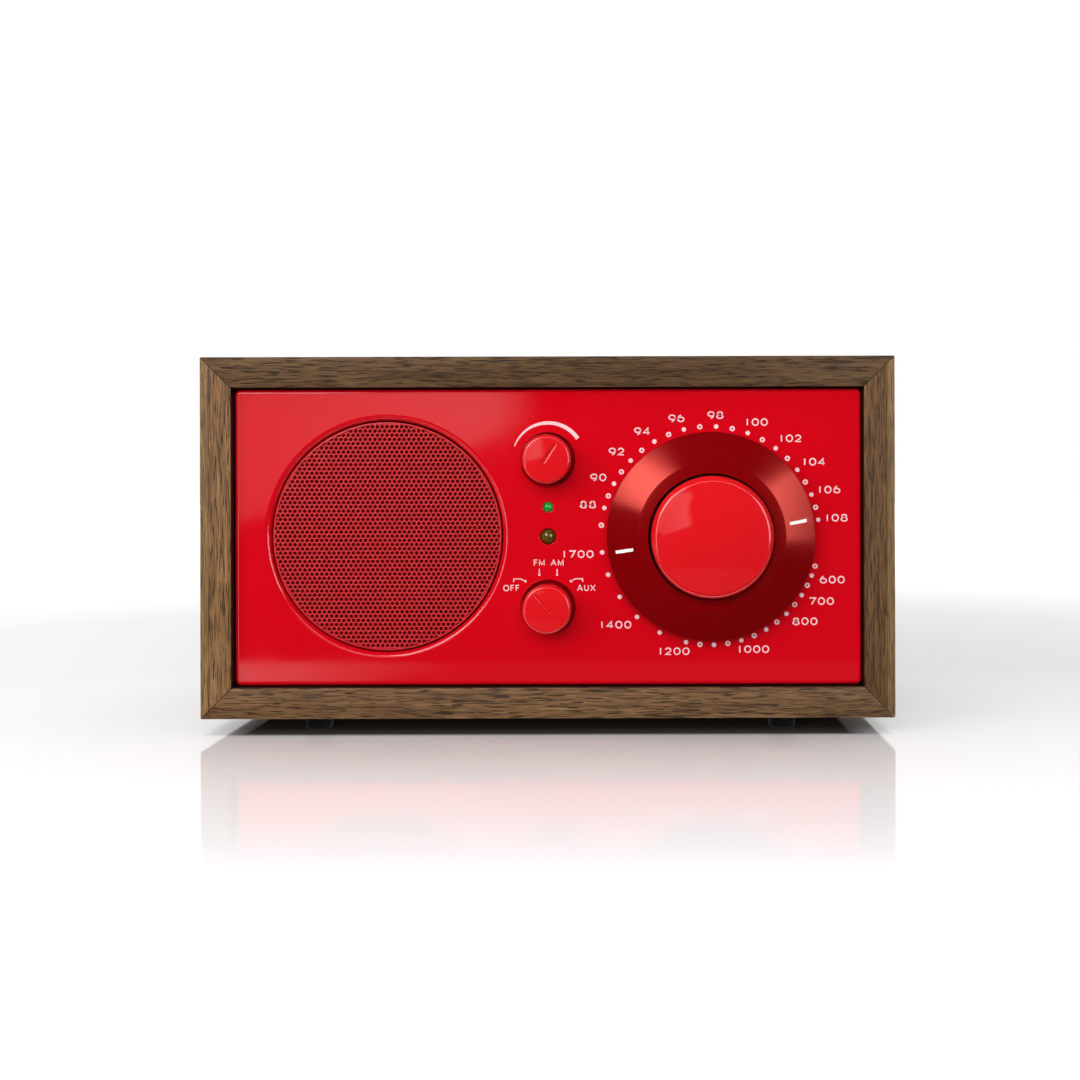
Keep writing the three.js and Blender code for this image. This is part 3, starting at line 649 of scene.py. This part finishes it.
def printed_shape(outline):
    """A closed flat shape drawn in X and Z, standing just proud of the panel."""
    count = len(outline)
    vertices = [(x, y, z) for y in (-PRINT_RELIEF, PRINT_RELIEF) for x, z in outline]
    faces = [tuple(range(count)), tuple(range(2 * count - 1, count - 1, -1))]
    for i in range(count):
        j = (i + 1) % count
        faces.append((i, j, count + j, count + i))
    return vertices, faces


def ribbon(points, width, closed=False):
    """A printed stroke of even width along points in X and Z."""
    count = len(points)
    inner, outer = [], []
    for i, (x, z) in enumerate(points):
        before = points[i - 1] if i or closed else points[i]
        after = points[(i + 1) % count] if i < count - 1 or closed else points[i]
        arriving = Vector((x - before[0], z - before[1]))
        leaving = Vector((after[0] - x, after[1] - z))
        arriving = (arriving if arriving.length else leaving).normalized()
        leaving = leaving.normalized() if leaving.length else arriving
        normal = Vector((-arriving.y - leaving.y, arriving.x + leaving.x)).normalized()
        reach = width / 2 / max(0.5, normal.dot(Vector((-arriving.y, arriving.x))))
        inner.append((x - normal.x * reach, z - normal.y * reach))
        outer.append((x + normal.x * reach, z + normal.y * reach))
    vertices, faces = [], []
    for x, z in inner + outer:
        vertices += [(x, -PRINT_RELIEF, z), (x, PRINT_RELIEF, z)]
    for i in range(count if closed else count - 1):
        j = (i + 1) % count
        a, b, c, d = 2 * i, 2 * j, 2 * (count + j), 2 * (count + i)
        faces += [(a, b, c, d), (a + 1, d + 1, c + 1, b + 1)]
        faces += [(a, a + 1, b + 1, b), (d, c, c + 1, d + 1)]
    if not closed:
        for i in (0, count - 1):
            faces.append((2 * i, 2 * i + 1, 2 * (count + i) + 1, 2 * (count + i)))
    return vertices, faces


# ---- the case


def build_case():
    """The four boards, with their long edges rounded and only a fine line at the mitres."""
    grain = {
        "cabinet_top": "walnut",
        "cabinet_bottom": "walnut_bottom",
        "cabinet_left": "walnut_left",
        "cabinet_right": "walnut_right",
    }
    half = CASE_SIZE / 2

    def on_mitre(vertex):
        from_side = half.x - abs(vertex.co.x - CASE_MIDDLE.x)
        from_top = half.z - abs(vertex.co.z - CASE_MIDDLE.z)
        return abs(from_side - from_top) < 0.3 * MM

    def corners(bm, at_mitre):
        sharp = [e for e in bm.edges if len(e.link_faces) == 2 and e.calc_face_angle(0) > 0.5]
        return [e for e in sharp if all(on_mitre(v) for v in e.verts) == at_mitre]

    for node, material in grain.items():
        bm = bmesh.new()
        bm.from_mesh(frame["nodes"][node].data)
        bmesh.ops.remove_doubles(bm, verts=bm.verts, dist=1e-6)
        bmesh.ops.dissolve_limit(bm, angle_limit=0.01, verts=bm.verts, edges=bm.edges)
        for width, segments, at_mitre in ((BOARD_EDGE, 4, False), (MITRE_EDGE, 2, True)):
            rounding = {"offset": width * MM, "segments": segments, "profile": 0.5}
            bmesh.ops.bevel(bm, geom=corners(bm, at_mitre), affect="EDGES", **rounding)
        bmesh.ops.scale(bm, vec=(1 / MM,) * 3, verts=bm.verts)
        obj = new_object("board_" + node, finish_mesh(bm, node, 32))
        obj.data.materials.append(MATERIALS[material])
        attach(obj, "cabinet")
        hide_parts(node)


def build_feet():
    """Rubber discs with a rounded tread and a narrower neck against the case."""
    for node in ("foot_front_left", "foot_front_right", "foot_rear_left", "foot_rear_right"):
        low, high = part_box(node)
        radius = (high.x - low.x) / 2 / MM
        height = (high.z - low.z) / MM
        neck = radius - 0.25
        profile = [(0, 0), *arc(radius - FOOT_EDGE, FOOT_EDGE, FOOT_EDGE, -90, 0, 6)]
        profile += [(radius, height * 0.75), (neck, height * 0.8), (neck, height), (0, height)]
        vertices, faces = turned(profile, 64)
        upright = [(x, z, y) for x, y, z in vertices]
        at = Vector(((low.x + high.x) / 2, (low.y + high.y) / 2, low.z))
        piece("rubber_" + node, (upright, faces), "rubber", "cabinet", at, (node,))


# ---- the front panel


def build_panel():
    """The lacquered panel, with rounded edges at its outline and holes, and its two lenses."""
    size = panel_high - panel_low
    outline = rounded_rectangle_points(size.x / MM, size.z / MM, PANEL_CORNER)

    def hole(point, radius, edge, count):
        offset = (point - PANEL) / MM
        return circle_points(radius, count, offset.x, offset.z), edge

    holes = [
        hole(SPEAKER, SPEAKER_HOLE, SPEAKER_LIP, 160),
        hole(DIAL, DIAL_HOLE, DIAL_LIP, 96),
        hole(VOLUME, KNOB_WELL, WELL_LIP, 96),
        hole(SOURCE, KNOB_WELL, WELL_LIP, 96),
    ]
    holes += [hole(on_panel(lamp), r, LAMP_LIP, 48) for lamp, r in LAMP_HOLES.items()]
    sheet = drilled_sheet(outline, PANEL_EDGE, holes, PANEL_THICKNESS)
    # Cups behind the two knob wells.
    cup_profile = [
        (KNOB_WELL, PANEL_THICKNESS),
        (KNOB_WELL, WELL_DEPTH),
        (SHAFT_HOLE, WELL_DEPTH),
        (SHAFT_HOLE, WELL_DEPTH + 2),
        (KNOB_WELL + CUP_WALL, WELL_DEPTH + 2),
        (KNOB_WELL + CUP_WALL, PANEL_THICKNESS),
    ]
    cups = []
    for point in (VOLUME, SOURCE):
        offset = (point - PANEL) / MM
        cups.append(moved(turned(cup_profile, 96, closed=True), offset.x, offset.z))
    piece("lacquered_panel", joined(sheet, *cups), "red_gloss", "cabinet", PANEL,
          ("front_panel",), sharp_angle=30)
    for lamp, radius in LAMP_HOLES.items():
        build_lamp(lamp, radius - LAMP_CLEARANCE)


def build_lamp(node, radius):
    """A domed lens with a collar behind the panel."""
    dome = arc(0, 0.65 * radius, radius, -90, -8, 10)
    profile = [*dome, (radius, 3.1), (radius + 0.5, 3.1), (radius + 0.5, 4.2), (0, 4.2)]
    material = "green_lens" if node == "power_lamp" else "amber_lens"
    piece("lens_" + node, turned(profile, 48), material, "cabinet", on_panel(node), (node,))


def perforated_disc(edge):
    """A sheet pierced by rows of round holes, one in each cell of a honeycomb, cut to a circle."""
    row_height = HOLE_PITCH * math.sqrt(3) / 2
    cell = HOLE_PITCH / math.sqrt(3)
    rows = int(edge / row_height) + 1
    columns = int(edge / HOLE_PITCH) + 1
    vertices, faces = [], []

    def corner(cx, cz, radius, a, y):
        x, z = cx + radius * math.cos(a), cz + radius * math.sin(a)
        out = math.hypot(x, z)
        if out > edge:
            x, z = x * edge / out, z * edge / out
        vertices.append((x, y, z))
        return len(vertices) - 1

    for row in range(-rows, rows + 1):
        for column in range(-columns - 1, columns + 1):
            cx = (column + (0.5 if row % 2 else 0)) * HOLE_PITCH
            cz = row * row_height
            if math.hypot(cx, cz) > edge + cell * 0.6:
                continue
            outer, lip, inner, deep = [], [], [], []
            for i in range(HOLE_SIDES):
                a = math.pi / 2 + 2 * math.pi * i / HOLE_SIDES
                hexagon = cell if i % 2 == 0 else cell * math.cos(math.pi / 6)
                outer.append(corner(cx, cz, hexagon, a, 0))
                lip.append(corner(cx, cz, HOLE_RADIUS + HOLE_LIP, a, 0))
                inner.append(corner(cx, cz, HOLE_RADIUS, a, HOLE_LIP))
                deep.append(corner(cx, cz, HOLE_RADIUS, a, GRILLE_SHEET))
            for i in range(HOLE_SIDES):
                j = (i + 1) % HOLE_SIDES
                for near, far in ((outer, lip), (lip, inner), (inner, deep)):
                    faces.append((near[i], near[j], far[j], far[i]))
    return vertices, faces


def build_grille():
    """The perforated disc with a rolled rim, and a cloth behind it."""
    edge = GRILLE_RADIUS - 0.35
    rim = [
        (edge - 0.12, 0.0),
        *arc(GRILLE_RADIUS - GRILLE_RIM, GRILLE_RIM, GRILLE_RIM, -90, 0, 5),
        (GRILLE_RADIUS, 1.9),
        (GRILLE_RADIUS - 0.9, 1.9),
        (edge - 0.12, GRILLE_SHEET),
    ]
    rim = turned(rim, 160, closed=True)
    at = SPEAKER + Vector((0, GRILLE_DEPTH * MM, 0))
    grille = joined(perforated_disc(edge), rim)
    piece("perforated_grille", grille, "red_mesh", "cabinet", at, ("speaker_grille",),
          sharp_angle=50)
    cloth = turned([(0, 1.0), (edge - 0.4, 1.0), (edge - 0.4, 1.3), (0, 1.3)], 96)
    piece("grille_cloth", cloth, "cloth", "cabinet", at)


def build_surround():
    """The speaker's rubber half roll: its outer half is still, on the cabinet, and its inner half is
    put on no body.
    """
    seat, middle = SURROUND_SEAT, SURROUND_MIDDLE
    rear = seat + SURROUND_SKIN
    crest = seat - SURROUND_ROLL
    hollow = SURROUND_ROLL - SURROUND_SKIN
    outer = [
        (SURROUND_OUTER, rear),
        (SURROUND_OUTER, seat),
        *arc(middle, seat, SURROUND_ROLL, 0, -90),
        *arc(middle, seat, hollow, -90, 0),
        (middle + hollow, rear),
    ]
    split = middle - 0.02
    inner = [
        (SURROUND_INNER, rear),
        (middle - hollow, rear),
        *arc(split, seat, hollow, -180, -90),
        *arc(split, seat, SURROUND_ROLL, -90, -180),
        (SURROUND_INNER, seat),
    ]
    stands_for = ("driver_surround",)
    still, moving = (turned(profile, 96, closed=True) for profile in (outer, inner))
    piece("surround_outer", still, "rubber", "cabinet", SPEAKER, stands_for)
    piece("surround_inner", moving, "rubber", "cabinet", SPEAKER, stands_for,
          bends=("cone", crest, rear + 0.2))


# ---- print on the panel


def oval(cx, cz, rx, rz, start=0, end=360, steps=28):
    """Points along part of an oval. Angles are in degrees."""
    points = []
    for i in range(steps + 1):
        a = math.radians(start + (end - start) * i / steps)
        points.append((cx + rx * math.cos(a), cz + rz * math.sin(a)))
    return points


def closed_oval(*args):
    return oval(*args)[:-1], True


# Each sign has a width, as a share of DIGIT_WIDTH or LETTER_WIDTH, and a list of strokes in a box
# of 1 by 1: (points, closed).
SIGNS = {
    "0": (1.0, [closed_oval(0.5, 0.5, 0.5, 0.5)]),
    "1": (0.45, [([(0, 0), (0, 1)], False)]),
    "2": (0.95, [(oval(0.48, 0.68, 0.45, 0.32, 170, -38, 18) + [(0.0, 0.0), (1.0, 0.0)], False)]),
    "4": (1.0, [([(0.74, 0), (0.74, 1), (0.0, 0.27), (1.0, 0.27)], False)]),
    "6": (1.0, [
        closed_oval(0.5, 0.34, 0.5, 0.34),
        (oval(0.66, 0.36, 0.66, 0.64, 180, 100, 12), False),
    ]),
    "7": (1.0, [([(0, 1), (1.0, 1), (0.36, 0)], False)]),
    "8": (1.0, [closed_oval(0.5, 0.77, 0.38, 0.23), closed_oval(0.5, 0.27, 0.5, 0.27)]),
    "9": (1.0, [
        closed_oval(0.5, 0.66, 0.5, 0.34),
        (oval(0.34, 0.64, 0.66, 0.64, 0, -80, 12), False),
    ]),
    "O": (0.86, [closed_oval(0.5, 0.5, 0.5, 0.5)]),
    "F": (0.56, [([(0, 0), (0, 1), (1, 1)], False), ([(0, 0.52), (0.88, 0.52)], False)]),
    "M": (0.82, [([(0, 0), (0, 1), (0.5, 0.12), (1, 1), (1, 0)], False)]),
    "A": (0.86, [([(0, 0), (0.5, 1), (1, 0)], False), ([(0.2, 0.34), (0.8, 0.34)], False)]),
    "U": (0.68, [([(0, 1), *oval(0.5, 0.36, 0.5, 0.36, 180, 360, 14), (1, 1)], False)]),
    "X": (0.78, [([(0, 0), (1, 1)], False), ([(0, 1), (1, 0)], False)]),
}


def text_width(text, unit, gap):
    return sum(SIGNS[sign][0] * unit for sign in text) + gap * (len(text) - 1)


def lettering(text, cx, cz, unit, height, stroke, gap):
    """Strokes for a line of text centred on a point."""
    x = cx - text_width(text, unit, gap) / 2
    low = cz - height / 2 + stroke / 2
    shapes = []
    for sign in text:
        share, strokes = SIGNS[sign]
        wide = share * unit
        for points, closed in strokes:
            left = x + stroke / 2
            line = [(left + u * (wide - stroke), low + v * (height - stroke)) for u, v in points]
            shapes.append(ribbon(line, stroke, closed))
        x += wide + gap
    return shapes


def dot(x, z, radius):
    return printed_shape([p for p, _ in circle_points(radius, 24, x, z)])


def ring_mark(x, z):
    return ribbon([p for p, _ in circle_points(RING_RADIUS, 24, x, z)], RING_STROKE, closed=True)


def fm_angle(mhz):
    """Degrees from the right, anticlockwise. The scale is a little tighter at its ends."""
    u = (mhz - 98) / 10
    return 86.7 - 85.5 * u + 7 * u**3


def am_angle(khz):
    """The same for the lower scale, tighter at its ends too."""
    v = (khz - 1100) / 600
    return -88.1 - 88.4 * v - 3.3 * v**2 + 8.5 * v**3


def on_scale(angle, radius=SCALE_RADIUS):
    a = math.radians(angle)
    return radius * math.cos(a), radius * math.sin(a)


def scale_label(text, angle):
    """A label outside its dot, its near corner towards the dot."""
    c, s = on_scale(angle, 1.0)
    half_width = text_width(text, DIGIT_WIDTH, DIGIT_GAP) / 2
    sideways = max(-1, min(1, 2.6 * (c - (0.11 if c > 0 and s > 0 else 0.02))))
    upwards = max(-1, min(1, 1.5 * s))
    x = LABEL_RADIUS * c + half_width * sideways
    z = (LABEL_RADIUS_UP if s > 0 else LABEL_RADIUS_DOWN) * s + DIGIT_HEIGHT / 2 * upwards
    return lettering(text, x, z, DIGIT_WIDTH, DIGIT_HEIGHT, DIGIT_STROKE, DIGIT_GAP)


def scale_mark(angle, filled):
    x, z = on_scale(angle)
    return dot(x, z, DOT_RADIUS) if filled else ring_mark(x, z)


def build_scale():
    """Two half scales round the dial: FM in MHz above, AM in kHz below."""
    below_88 = 174.4
    fm, am = [scale_mark(below_88, False)], []
    for mhz in range(88, 109):
        fm.append(scale_mark(fm_angle(mhz), mhz % 2 == 0))
        if mhz % 2 == 0:
            fm += scale_label(str(mhz), fm_angle(mhz))
    for khz in [*range(550, 1200, 50), *range(1200, 1701, 100)]:
        am.append(scale_mark(am_angle(khz), khz % 100 == 0))
    for khz in (600, 700, 800, 1000, 1200, 1400, 1700):
        am += scale_label(str(khz), am_angle(khz))
    for name, shapes in (("scale_fm", fm), ("scale_am", am)):
        piece("printed_" + name, joined(*shapes), "print", "cabinet", DIAL)


def build_volume_arc():
    """The swelling arc round the volume knob."""
    start, end, steps = 158, 35, 40
    inner, outer = [], []
    for i in range(steps + 1):
        u = i / steps
        a = math.radians(start + (end - start) * u)
        low = 10.95 - 0.3 * u
        high = low + 0.25 + 0.95 * (1 - (1 - u) ** 2)
        inner.append((low * math.cos(a), low * math.sin(a)))
        outer.append((high * math.cos(a), high * math.sin(a)))
    shapes = []
    for i in range(steps):
        shapes.append(printed_shape([inner[i], inner[i + 1], outer[i + 1], outer[i]]))
    piece("printed_volume_arc", joined(*shapes), "print", "cabinet", VOLUME)


def build_source_print():
    """The source knob's four positions: a word each, with a tick or a bent line to the knob."""
    marks = []
    words = {"OFF": (-11.35, 5.9), "FM": (-2.75, 13.7), "AM": (2.75, 13.7), "AUX": (11.7, 5.9)}
    for word, (x, z) in words.items():
        marks += lettering(word, x, z, LETTER_WIDTH, LETTER_HEIGHT, LETTER_STROKE, LETTER_GAP)
    for x in (-2.75, 2.75):
        marks.append(ribbon([(x, 11.75), (x, 10.1)], MARK_STROKE))
        marks.append(dot(x, 10.0, 0.36))
    for side in (-1, 1):
        hook = [(side * x, z) for x, z in ((10.65, 7.75), (10.55, 8.7), (8.4, 8.7), (7.05, 8.0))]
        marks.append(ribbon(hook, MARK_STROKE))
        marks.append(dot(*hook[-1], 0.4))
    piece("printed_sources", joined(*marks), "print", "cabinet", SOURCE)


# ---- knobs and dial


def build_small_knob(name, node, body, at, turn, groove):
    """A low domed knob with a pointer groove, cut by a round bar of the given radius."""
    radius, reach, edge, dome = SMALL_KNOB_RADIUS, SMALL_KNOB_REACH, 1.2, 65.0
    flat = radius - edge
    rise = dome - math.sqrt(dome**2 - flat**2)
    profile = crown(flat, -reach - rise, dome, 8)
    profile += [*arc(flat, edge - reach, edge, -84, 0, 8), (radius, 2)]
    profile += [(3.2, 2), (3.2, -5), (0, -5)]
    knob = piece(name, turned(profile, 96), "red_knob", body, at, (node,), sharp_angle=40)
    carved(knob, round_groove(-1.2, 5.2, groove, turn, 0.3 - reach - groove), sharp_angle=25)


def build_tuning_knob():
    """A hollow knob with a domed face and a stem for its shaft."""
    radius, edge, dome = TUNING_RADIUS, 2.2, 75.0
    flat = radius - edge
    rise = dome - math.sqrt(dome**2 - flat**2)
    profile = crown(flat, -TUNING_REACH, dome, 12)
    profile += arc(flat, -TUNING_REACH + rise + edge, edge, -78, 0, 10)
    profile += [(radius, -3.9), (radius - 2, -3.9), (radius - 2, -13), (6, -13)]
    profile += [(6, -4.4), (3.1, -4.4), (3.1, -14), (0, -14)]
    piece("tuning_cap", turned(profile, 160), "red_knob", "tuner", DIAL, ("tuning_knob",),
          sharp_angle=40)


def build_dial_ring():
    """A bevelled ring with a flat land inside, and slots for its two inlaid pointers."""
    slope = math.atan2(BEVEL_LOW - BEVEL_HIGH, BEVEL_OUTER - BEVEL_INNER)
    soft, fine = 0.35, 0.25
    web = 30.1
    profile = [
        (BEVEL_OUTER, -1.0),
        *arc(BEVEL_OUTER - soft, BEVEL_LOW + soft, soft, 0, -90 + math.degrees(slope), 5),
        (BEVEL_INNER + 0.15, BEVEL_HIGH + 0.03),
        (BEVEL_INNER - 0.15, BEVEL_HIGH),
        *arc(DIAL_BORE + fine, BEVEL_HIGH + fine, fine, -90, -180, 4),
        (DIAL_BORE, -3.3),
        (web, -3.3),
        (web, -1.0),
    ]
    ring = piece("dial_bevel", turned(profile, 192, closed=True), "red_anodised", "dial", DIAL,
                 ("dial_ring",), sharp_angle=12)
    slots = [pointer_slot(node, slope) for node in ("pointer_fm", "pointer_am")]
    carved(ring, *slots, sharp_angle=12)


def pointer_slot(node, slope):
    """A box round one of the pointers inlaid in the bevel, a little larger all round."""
    offset = (middle_of(node) - DIAL) / MM
    turn = math.atan2(offset.z, offset.x)
    length, depth, width = (size / 2 + SLOT_CLEARANCE for size in POINTER_SIZE)
    out = math.hypot(offset.x, offset.z)
    place = Matrix.Rotation(-turn, 4, "Y") @ Matrix.Translation((out, offset.y, 0))
    place = place @ Matrix.Rotation(slope, 4, "Z")
    vertices = []
    for x in (-length, length):
        for y in (-depth - 1, depth):
            for z in (-width, width):
                vertices.append(tuple(place @ Vector((x, y, z))))
    faces = [(0, 1, 3, 2), (4, 6, 7, 5), (0, 4, 5, 1), (2, 3, 7, 6), (0, 2, 6, 4), (1, 5, 7, 3)]
    return vertices, faces


# ---- carried-over CAD nodes

# Bevels on some of them, in millimetres.
SOFT_EDGES = {
    "pointer_fm": 0.06,
    "pointer_am": 0.06,
    "rear_panel": 0.3,
    "mains_inlet": 0.25,
    "socket_strip": 0.25,
    "aerial_socket": 0.2,
    "aerial_switch": 0.2,
    "pair_button": 0.2,
    "bass_port": 0.3,
    "main_board": 0.1,
    "power_transformer": 0.4,
    "tuning_capacitor": 0.3,
}


def dress_cad_nodes():
    """Every CAD node gets its slot's material, and some get softened edges."""
    for part in frame["record"]["subparts"]:
        obj = frame["nodes"][part["node"]]
        obj.data.materials.clear()
        obj.data.materials.append(MATERIALS[part["material_slot"]])
        weld = obj.modifiers.new("weld", "WELD")
        weld.merge_threshold = 1e-6
        width = SOFT_EDGES.get(part["node"])
        if width:
            bevel = obj.modifiers.new("edges", "BEVEL")
            bevel.width = width * MM
            bevel.segments = 3
            bevel.limit_method = "ANGLE"
            bevel.angle_limit = math.radians(40)


# ---- floor, light and camera


def stage_plane(name, corners, at, upright, material):
    """A flat card of the set: an upright card's corners are in X and Z, the others' in X and Y."""
    mesh = bpy.data.meshes.new(name)
    points = [(x, 0, v) if upright else (x, v, 0) for x, v in corners]
    mesh.from_pydata(points, [], [tuple(range(len(points)))])
    mesh.materials.append(material)
    obj = new_object(name, mesh, at)
    return obj


def rectangle(x0, x1, v0, v1):
    return [(x0, v0), (x1, v0), (x1, v1), (x0, v1)]


def build_floor():
    """A pale polished floor whose reflection fades away in front of the radio, with painted light far
    from it.
    """
    n = new_material("pale_floor")
    where = n.place()
    cloud = n.noise(where, scale=3, detail=2)
    depth = n.axis(where, "Y")
    front = CASE_MIDDLE.y
    pale = n.ramp(cloud, (0.3, (0.86, 0.86, 0.86, 1)), (0.7, (0.88, 0.88, 0.88, 1)))
    # A wide soft shade beside and behind the case, deeper on the side away from the window.
    middle = (-0.072, -0.12 - 0.6 * front, 0)
    around = n.add("Mapping", {"Vector": where, "Location": middle, "Scale": (0.9, 0.6, 1)})
    far = n.length(around.outputs["Vector"])
    behind = n.span(depth, front - 0.02, front + 0.16, 0.0, 1.0)
    shade = n.math("MULTIPLY", n.span(far, 0.07, 0.36, 0.34, 0.0), behind)
    pale = n.mix(shade, pale, (0, 0, 0, 1))
    # Under the case next to no light arrives.
    across = n.math("ABSOLUTE", n.axis(where, "X"))
    half = CASE_SIZE.x / 2
    back = case_high.y
    under = n.span(across, half, half - 0.014, 0, 1)
    for inside in (
        n.span(depth, front - 0.002, front + 0.002, 0, 1),
        n.span(depth, back, back - 0.014, 0, 1),
    ):
        under = n.math("MULTIPLY", under, inside)
    n.surface(
        Base_Color=n.mix(under, pale, (0.06, 0.052, 0.045, 1)),
        Roughness=0.07,
        Specular_IOR_Level=n.mix(under, n.span(depth, front - 0.16, front, 0.0, 0.5), (0, 0, 0, 1)),
        Emission_Color=(1, 1, 1, 1),
        # Far from the radio the floor glows, painted light that fades it into the white behind it.
        Emission_Strength=n.span(n.length(where), 0.4, 1.9, 0.0, 1.0),
    )
    floor = stage_plane("floor", rectangle(-4, 4, -4, 4), (0, 0, 0), False, n.owner)
    floor.visible_glossy = False
    floor.visible_diffuse = False


def glow(name, radiance, edge_at, softness, waviness=0.0, rest=0.0, far=1.0):
    """A card that glows up to a soft wavy edge, keeps a rest of it beyond, and less far left."""
    n = new_material(name)
    where = n.place()
    across = n.axis(where, "X")
    wave = n.span(n.noise(where, scale=9, detail=2), 0.3, 0.7, -waviness, waviness)
    wavy = n.math("ADD", across, wave)
    level = n.span(wavy, edge_at - softness, edge_at + softness, radiance, rest)
    share = n.span(across, -0.32, -0.14, far, 1.0)
    return n.surface(
        Base_Color=(0, 0, 0, 1),
        Specular_IOR_Level=0.0,
        Emission_Color=(1, 1, 1, 1),
        Emission_Strength=n.math("MULTIPLY", level, share),
    )


def area_light(name, at, size, radiance, reflected):
    """A lamp that is either seen in the gloss or gives soft light, so each can be set alone."""
    light = bpy.data.lights.new(name, "AREA")
    light.shape = "RECTANGLE"
    light.size, light.size_y = size
    light.energy = radiance * math.pi * size[0] * size[1]
    obj = new_object(name, light, at)
    obj.rotation_euler = (Vector(at) - CASE_MIDDLE).to_track_quat("Z", "Y").to_euler()
    obj.visible_camera = False
    obj.visible_glossy = reflected
    obj.visible_diffuse = not reflected
    light.cycles.use_multiple_importance_sampling = reflected


def build_world():
    """White behind the radio and a dim room before it, darker still in reflections."""
    world = bpy.data.worlds.new("studio")
    bpy.context.scene.world = world
    n = Nodes(world)
    backward = n.axis(n.add("TexCoord").outputs["Generated"], "Y")
    path = n.add("LightPath").outputs
    soft = n.span(backward, -0.25, 0.35, 0.2, 0.6, "SMOOTHSTEP")
    mirrored = n.span(backward, 0.2, 0.6, 0.028, 1.0, "SMOOTHSTEP")
    seen = n.add("Mix", {0: path["Is Glossy Ray"], 2: soft, 3: mirrored}).outputs[0]
    background = n.tree.nodes["Background"]
    n.set(background, "Strength", n.math("MAXIMUM", seen, path["Is Camera Ray"]))
    n.set(background, "Color", (1, 1, 1, 1))


def build_cards():
    """Seen only in the gloss: a window up on the left, and a white sheet on the floor in front."""
    front = CASE_MIDDLE.y
    level = CASE_MIDDLE.z
    window = glow("window_glow", 1.3, -0.085, 0.02, 0.02, far=0.55)
    slanted = [(-0.75, -0.05), (-0.43, -0.05), (-0.117, 0.048), (0, 0.1), (0, 0.62), (-0.75, 0.62)]
    cards = [stage_plane("window_card", slanted, (0, front - 0.9, level), True, window)]
    sheet = glow("sheet_glow", 1.6, -0.095, 0.035, 0.015, 0.16)
    near_floor = rectangle(-0.5, 0.4, -0.18, -0.09)
    cards.append(stage_plane("sheet_card", near_floor, (0, front, -0.001), False, sheet))
    # Strips beyond what the flat faces mirror, so the rounded edges catch thin light lines.
    strip = glow("edge_glow", 5.0, 9, 1)
    left, above, right = (-0.75, -0.46, -0.2, 0.5), (-0.4, 0.5, 0.46, 0.6), (0.62, 0.8, -0.15, 0.4)
    for i, span in enumerate((left, above, right)):
        at = (0, front - 0.899, level)
        cards.append(stage_plane(f"edge_card_{i}", rectangle(*span), at, True, strip))
    close = rectangle(-0.4, 0.4, -0.024, -0.016)
    cards.append(stage_plane("edge_card_floor", close, (0, front, -0.001), False, strip))
    glossy = bpy.data.collections.new("edge_lit")
    for name in ("lacquered_panel", "volume_cap", "source_cap", "tuning_cap"):
        glossy.objects.link(bpy.data.objects[name])
    for card in cards[1:]:
        card.light_linking.receiver_collection = glossy
    for card in cards:
        card.visible_camera = False
        card.visible_diffuse = False
        card.visible_shadow = False


def build_lamps():
    front = CASE_MIDDLE.y
    level = CASE_MIDDLE.z
    # Two lamps whose glow fans out on the dial's bevel.
    area_light("left_lamp", (-0.29, front - 0.42, level + 0.28), (0.32, 0.27), 6.3, True)
    area_light("right_lamp", (0.45, front - 0.42, level + 0.13), (0.28, 0.36), 4.6, True)
    # Soft light that isn't seen in the gloss.
    area_light("fill", (-0.6, front - 1.1, level + 0.45), (1.6, 0.9), 3.7, False)
    area_light("front_fill", (0.1, front - 1.2, level + 0.25), (0.8, 0.8), 5.0, False)
    area_light("top", (0, 0.0, level + 1.3), (1.6, 1.6), 1.2, False)


def build_camera():
    """Level, a little right of the middle and above it, with the lens shifted to frame the radio."""
    pixel = 0.306 * MM  # on the case's front
    distance = 0.453
    across = 0.0256
    above = 0.0181
    camera = bpy.data.cameras.new("camera")
    camera.sensor_width = 36
    camera.lens = 36 * distance / (1080 * pixel)
    camera.shift_x = -0.0843
    camera.shift_y = -0.0574
    camera.clip_start = 0.02
    at = (CASE_MIDDLE.x + across, CASE_MIDDLE.y - distance, CASE_MIDDLE.z + above)
    obj = new_object("camera", camera, at)
    obj.rotation_euler = (math.radians(90), math.radians(0.15), 0)
    bpy.context.scene.camera = obj
    bpy.context.scene.view_settings.view_transform = "Standard"


# ---- the whole scene

dress_cad_nodes()
build_case()
build_feet()
build_panel()
build_grille()
build_surround()
build_scale()
build_volume_arc()
build_source_print()
build_small_knob("volume_cap", "volume_knob", "volume", VOLUME, VOLUME_TURN, 0.85)
build_small_knob("source_cap", "source_knob", "source", SOURCE, SOURCE_TURN, 0.5)
build_tuning_knob()
build_dial_ring()
build_floor()
build_world()
build_cards()
build_lamps()
build_camera()
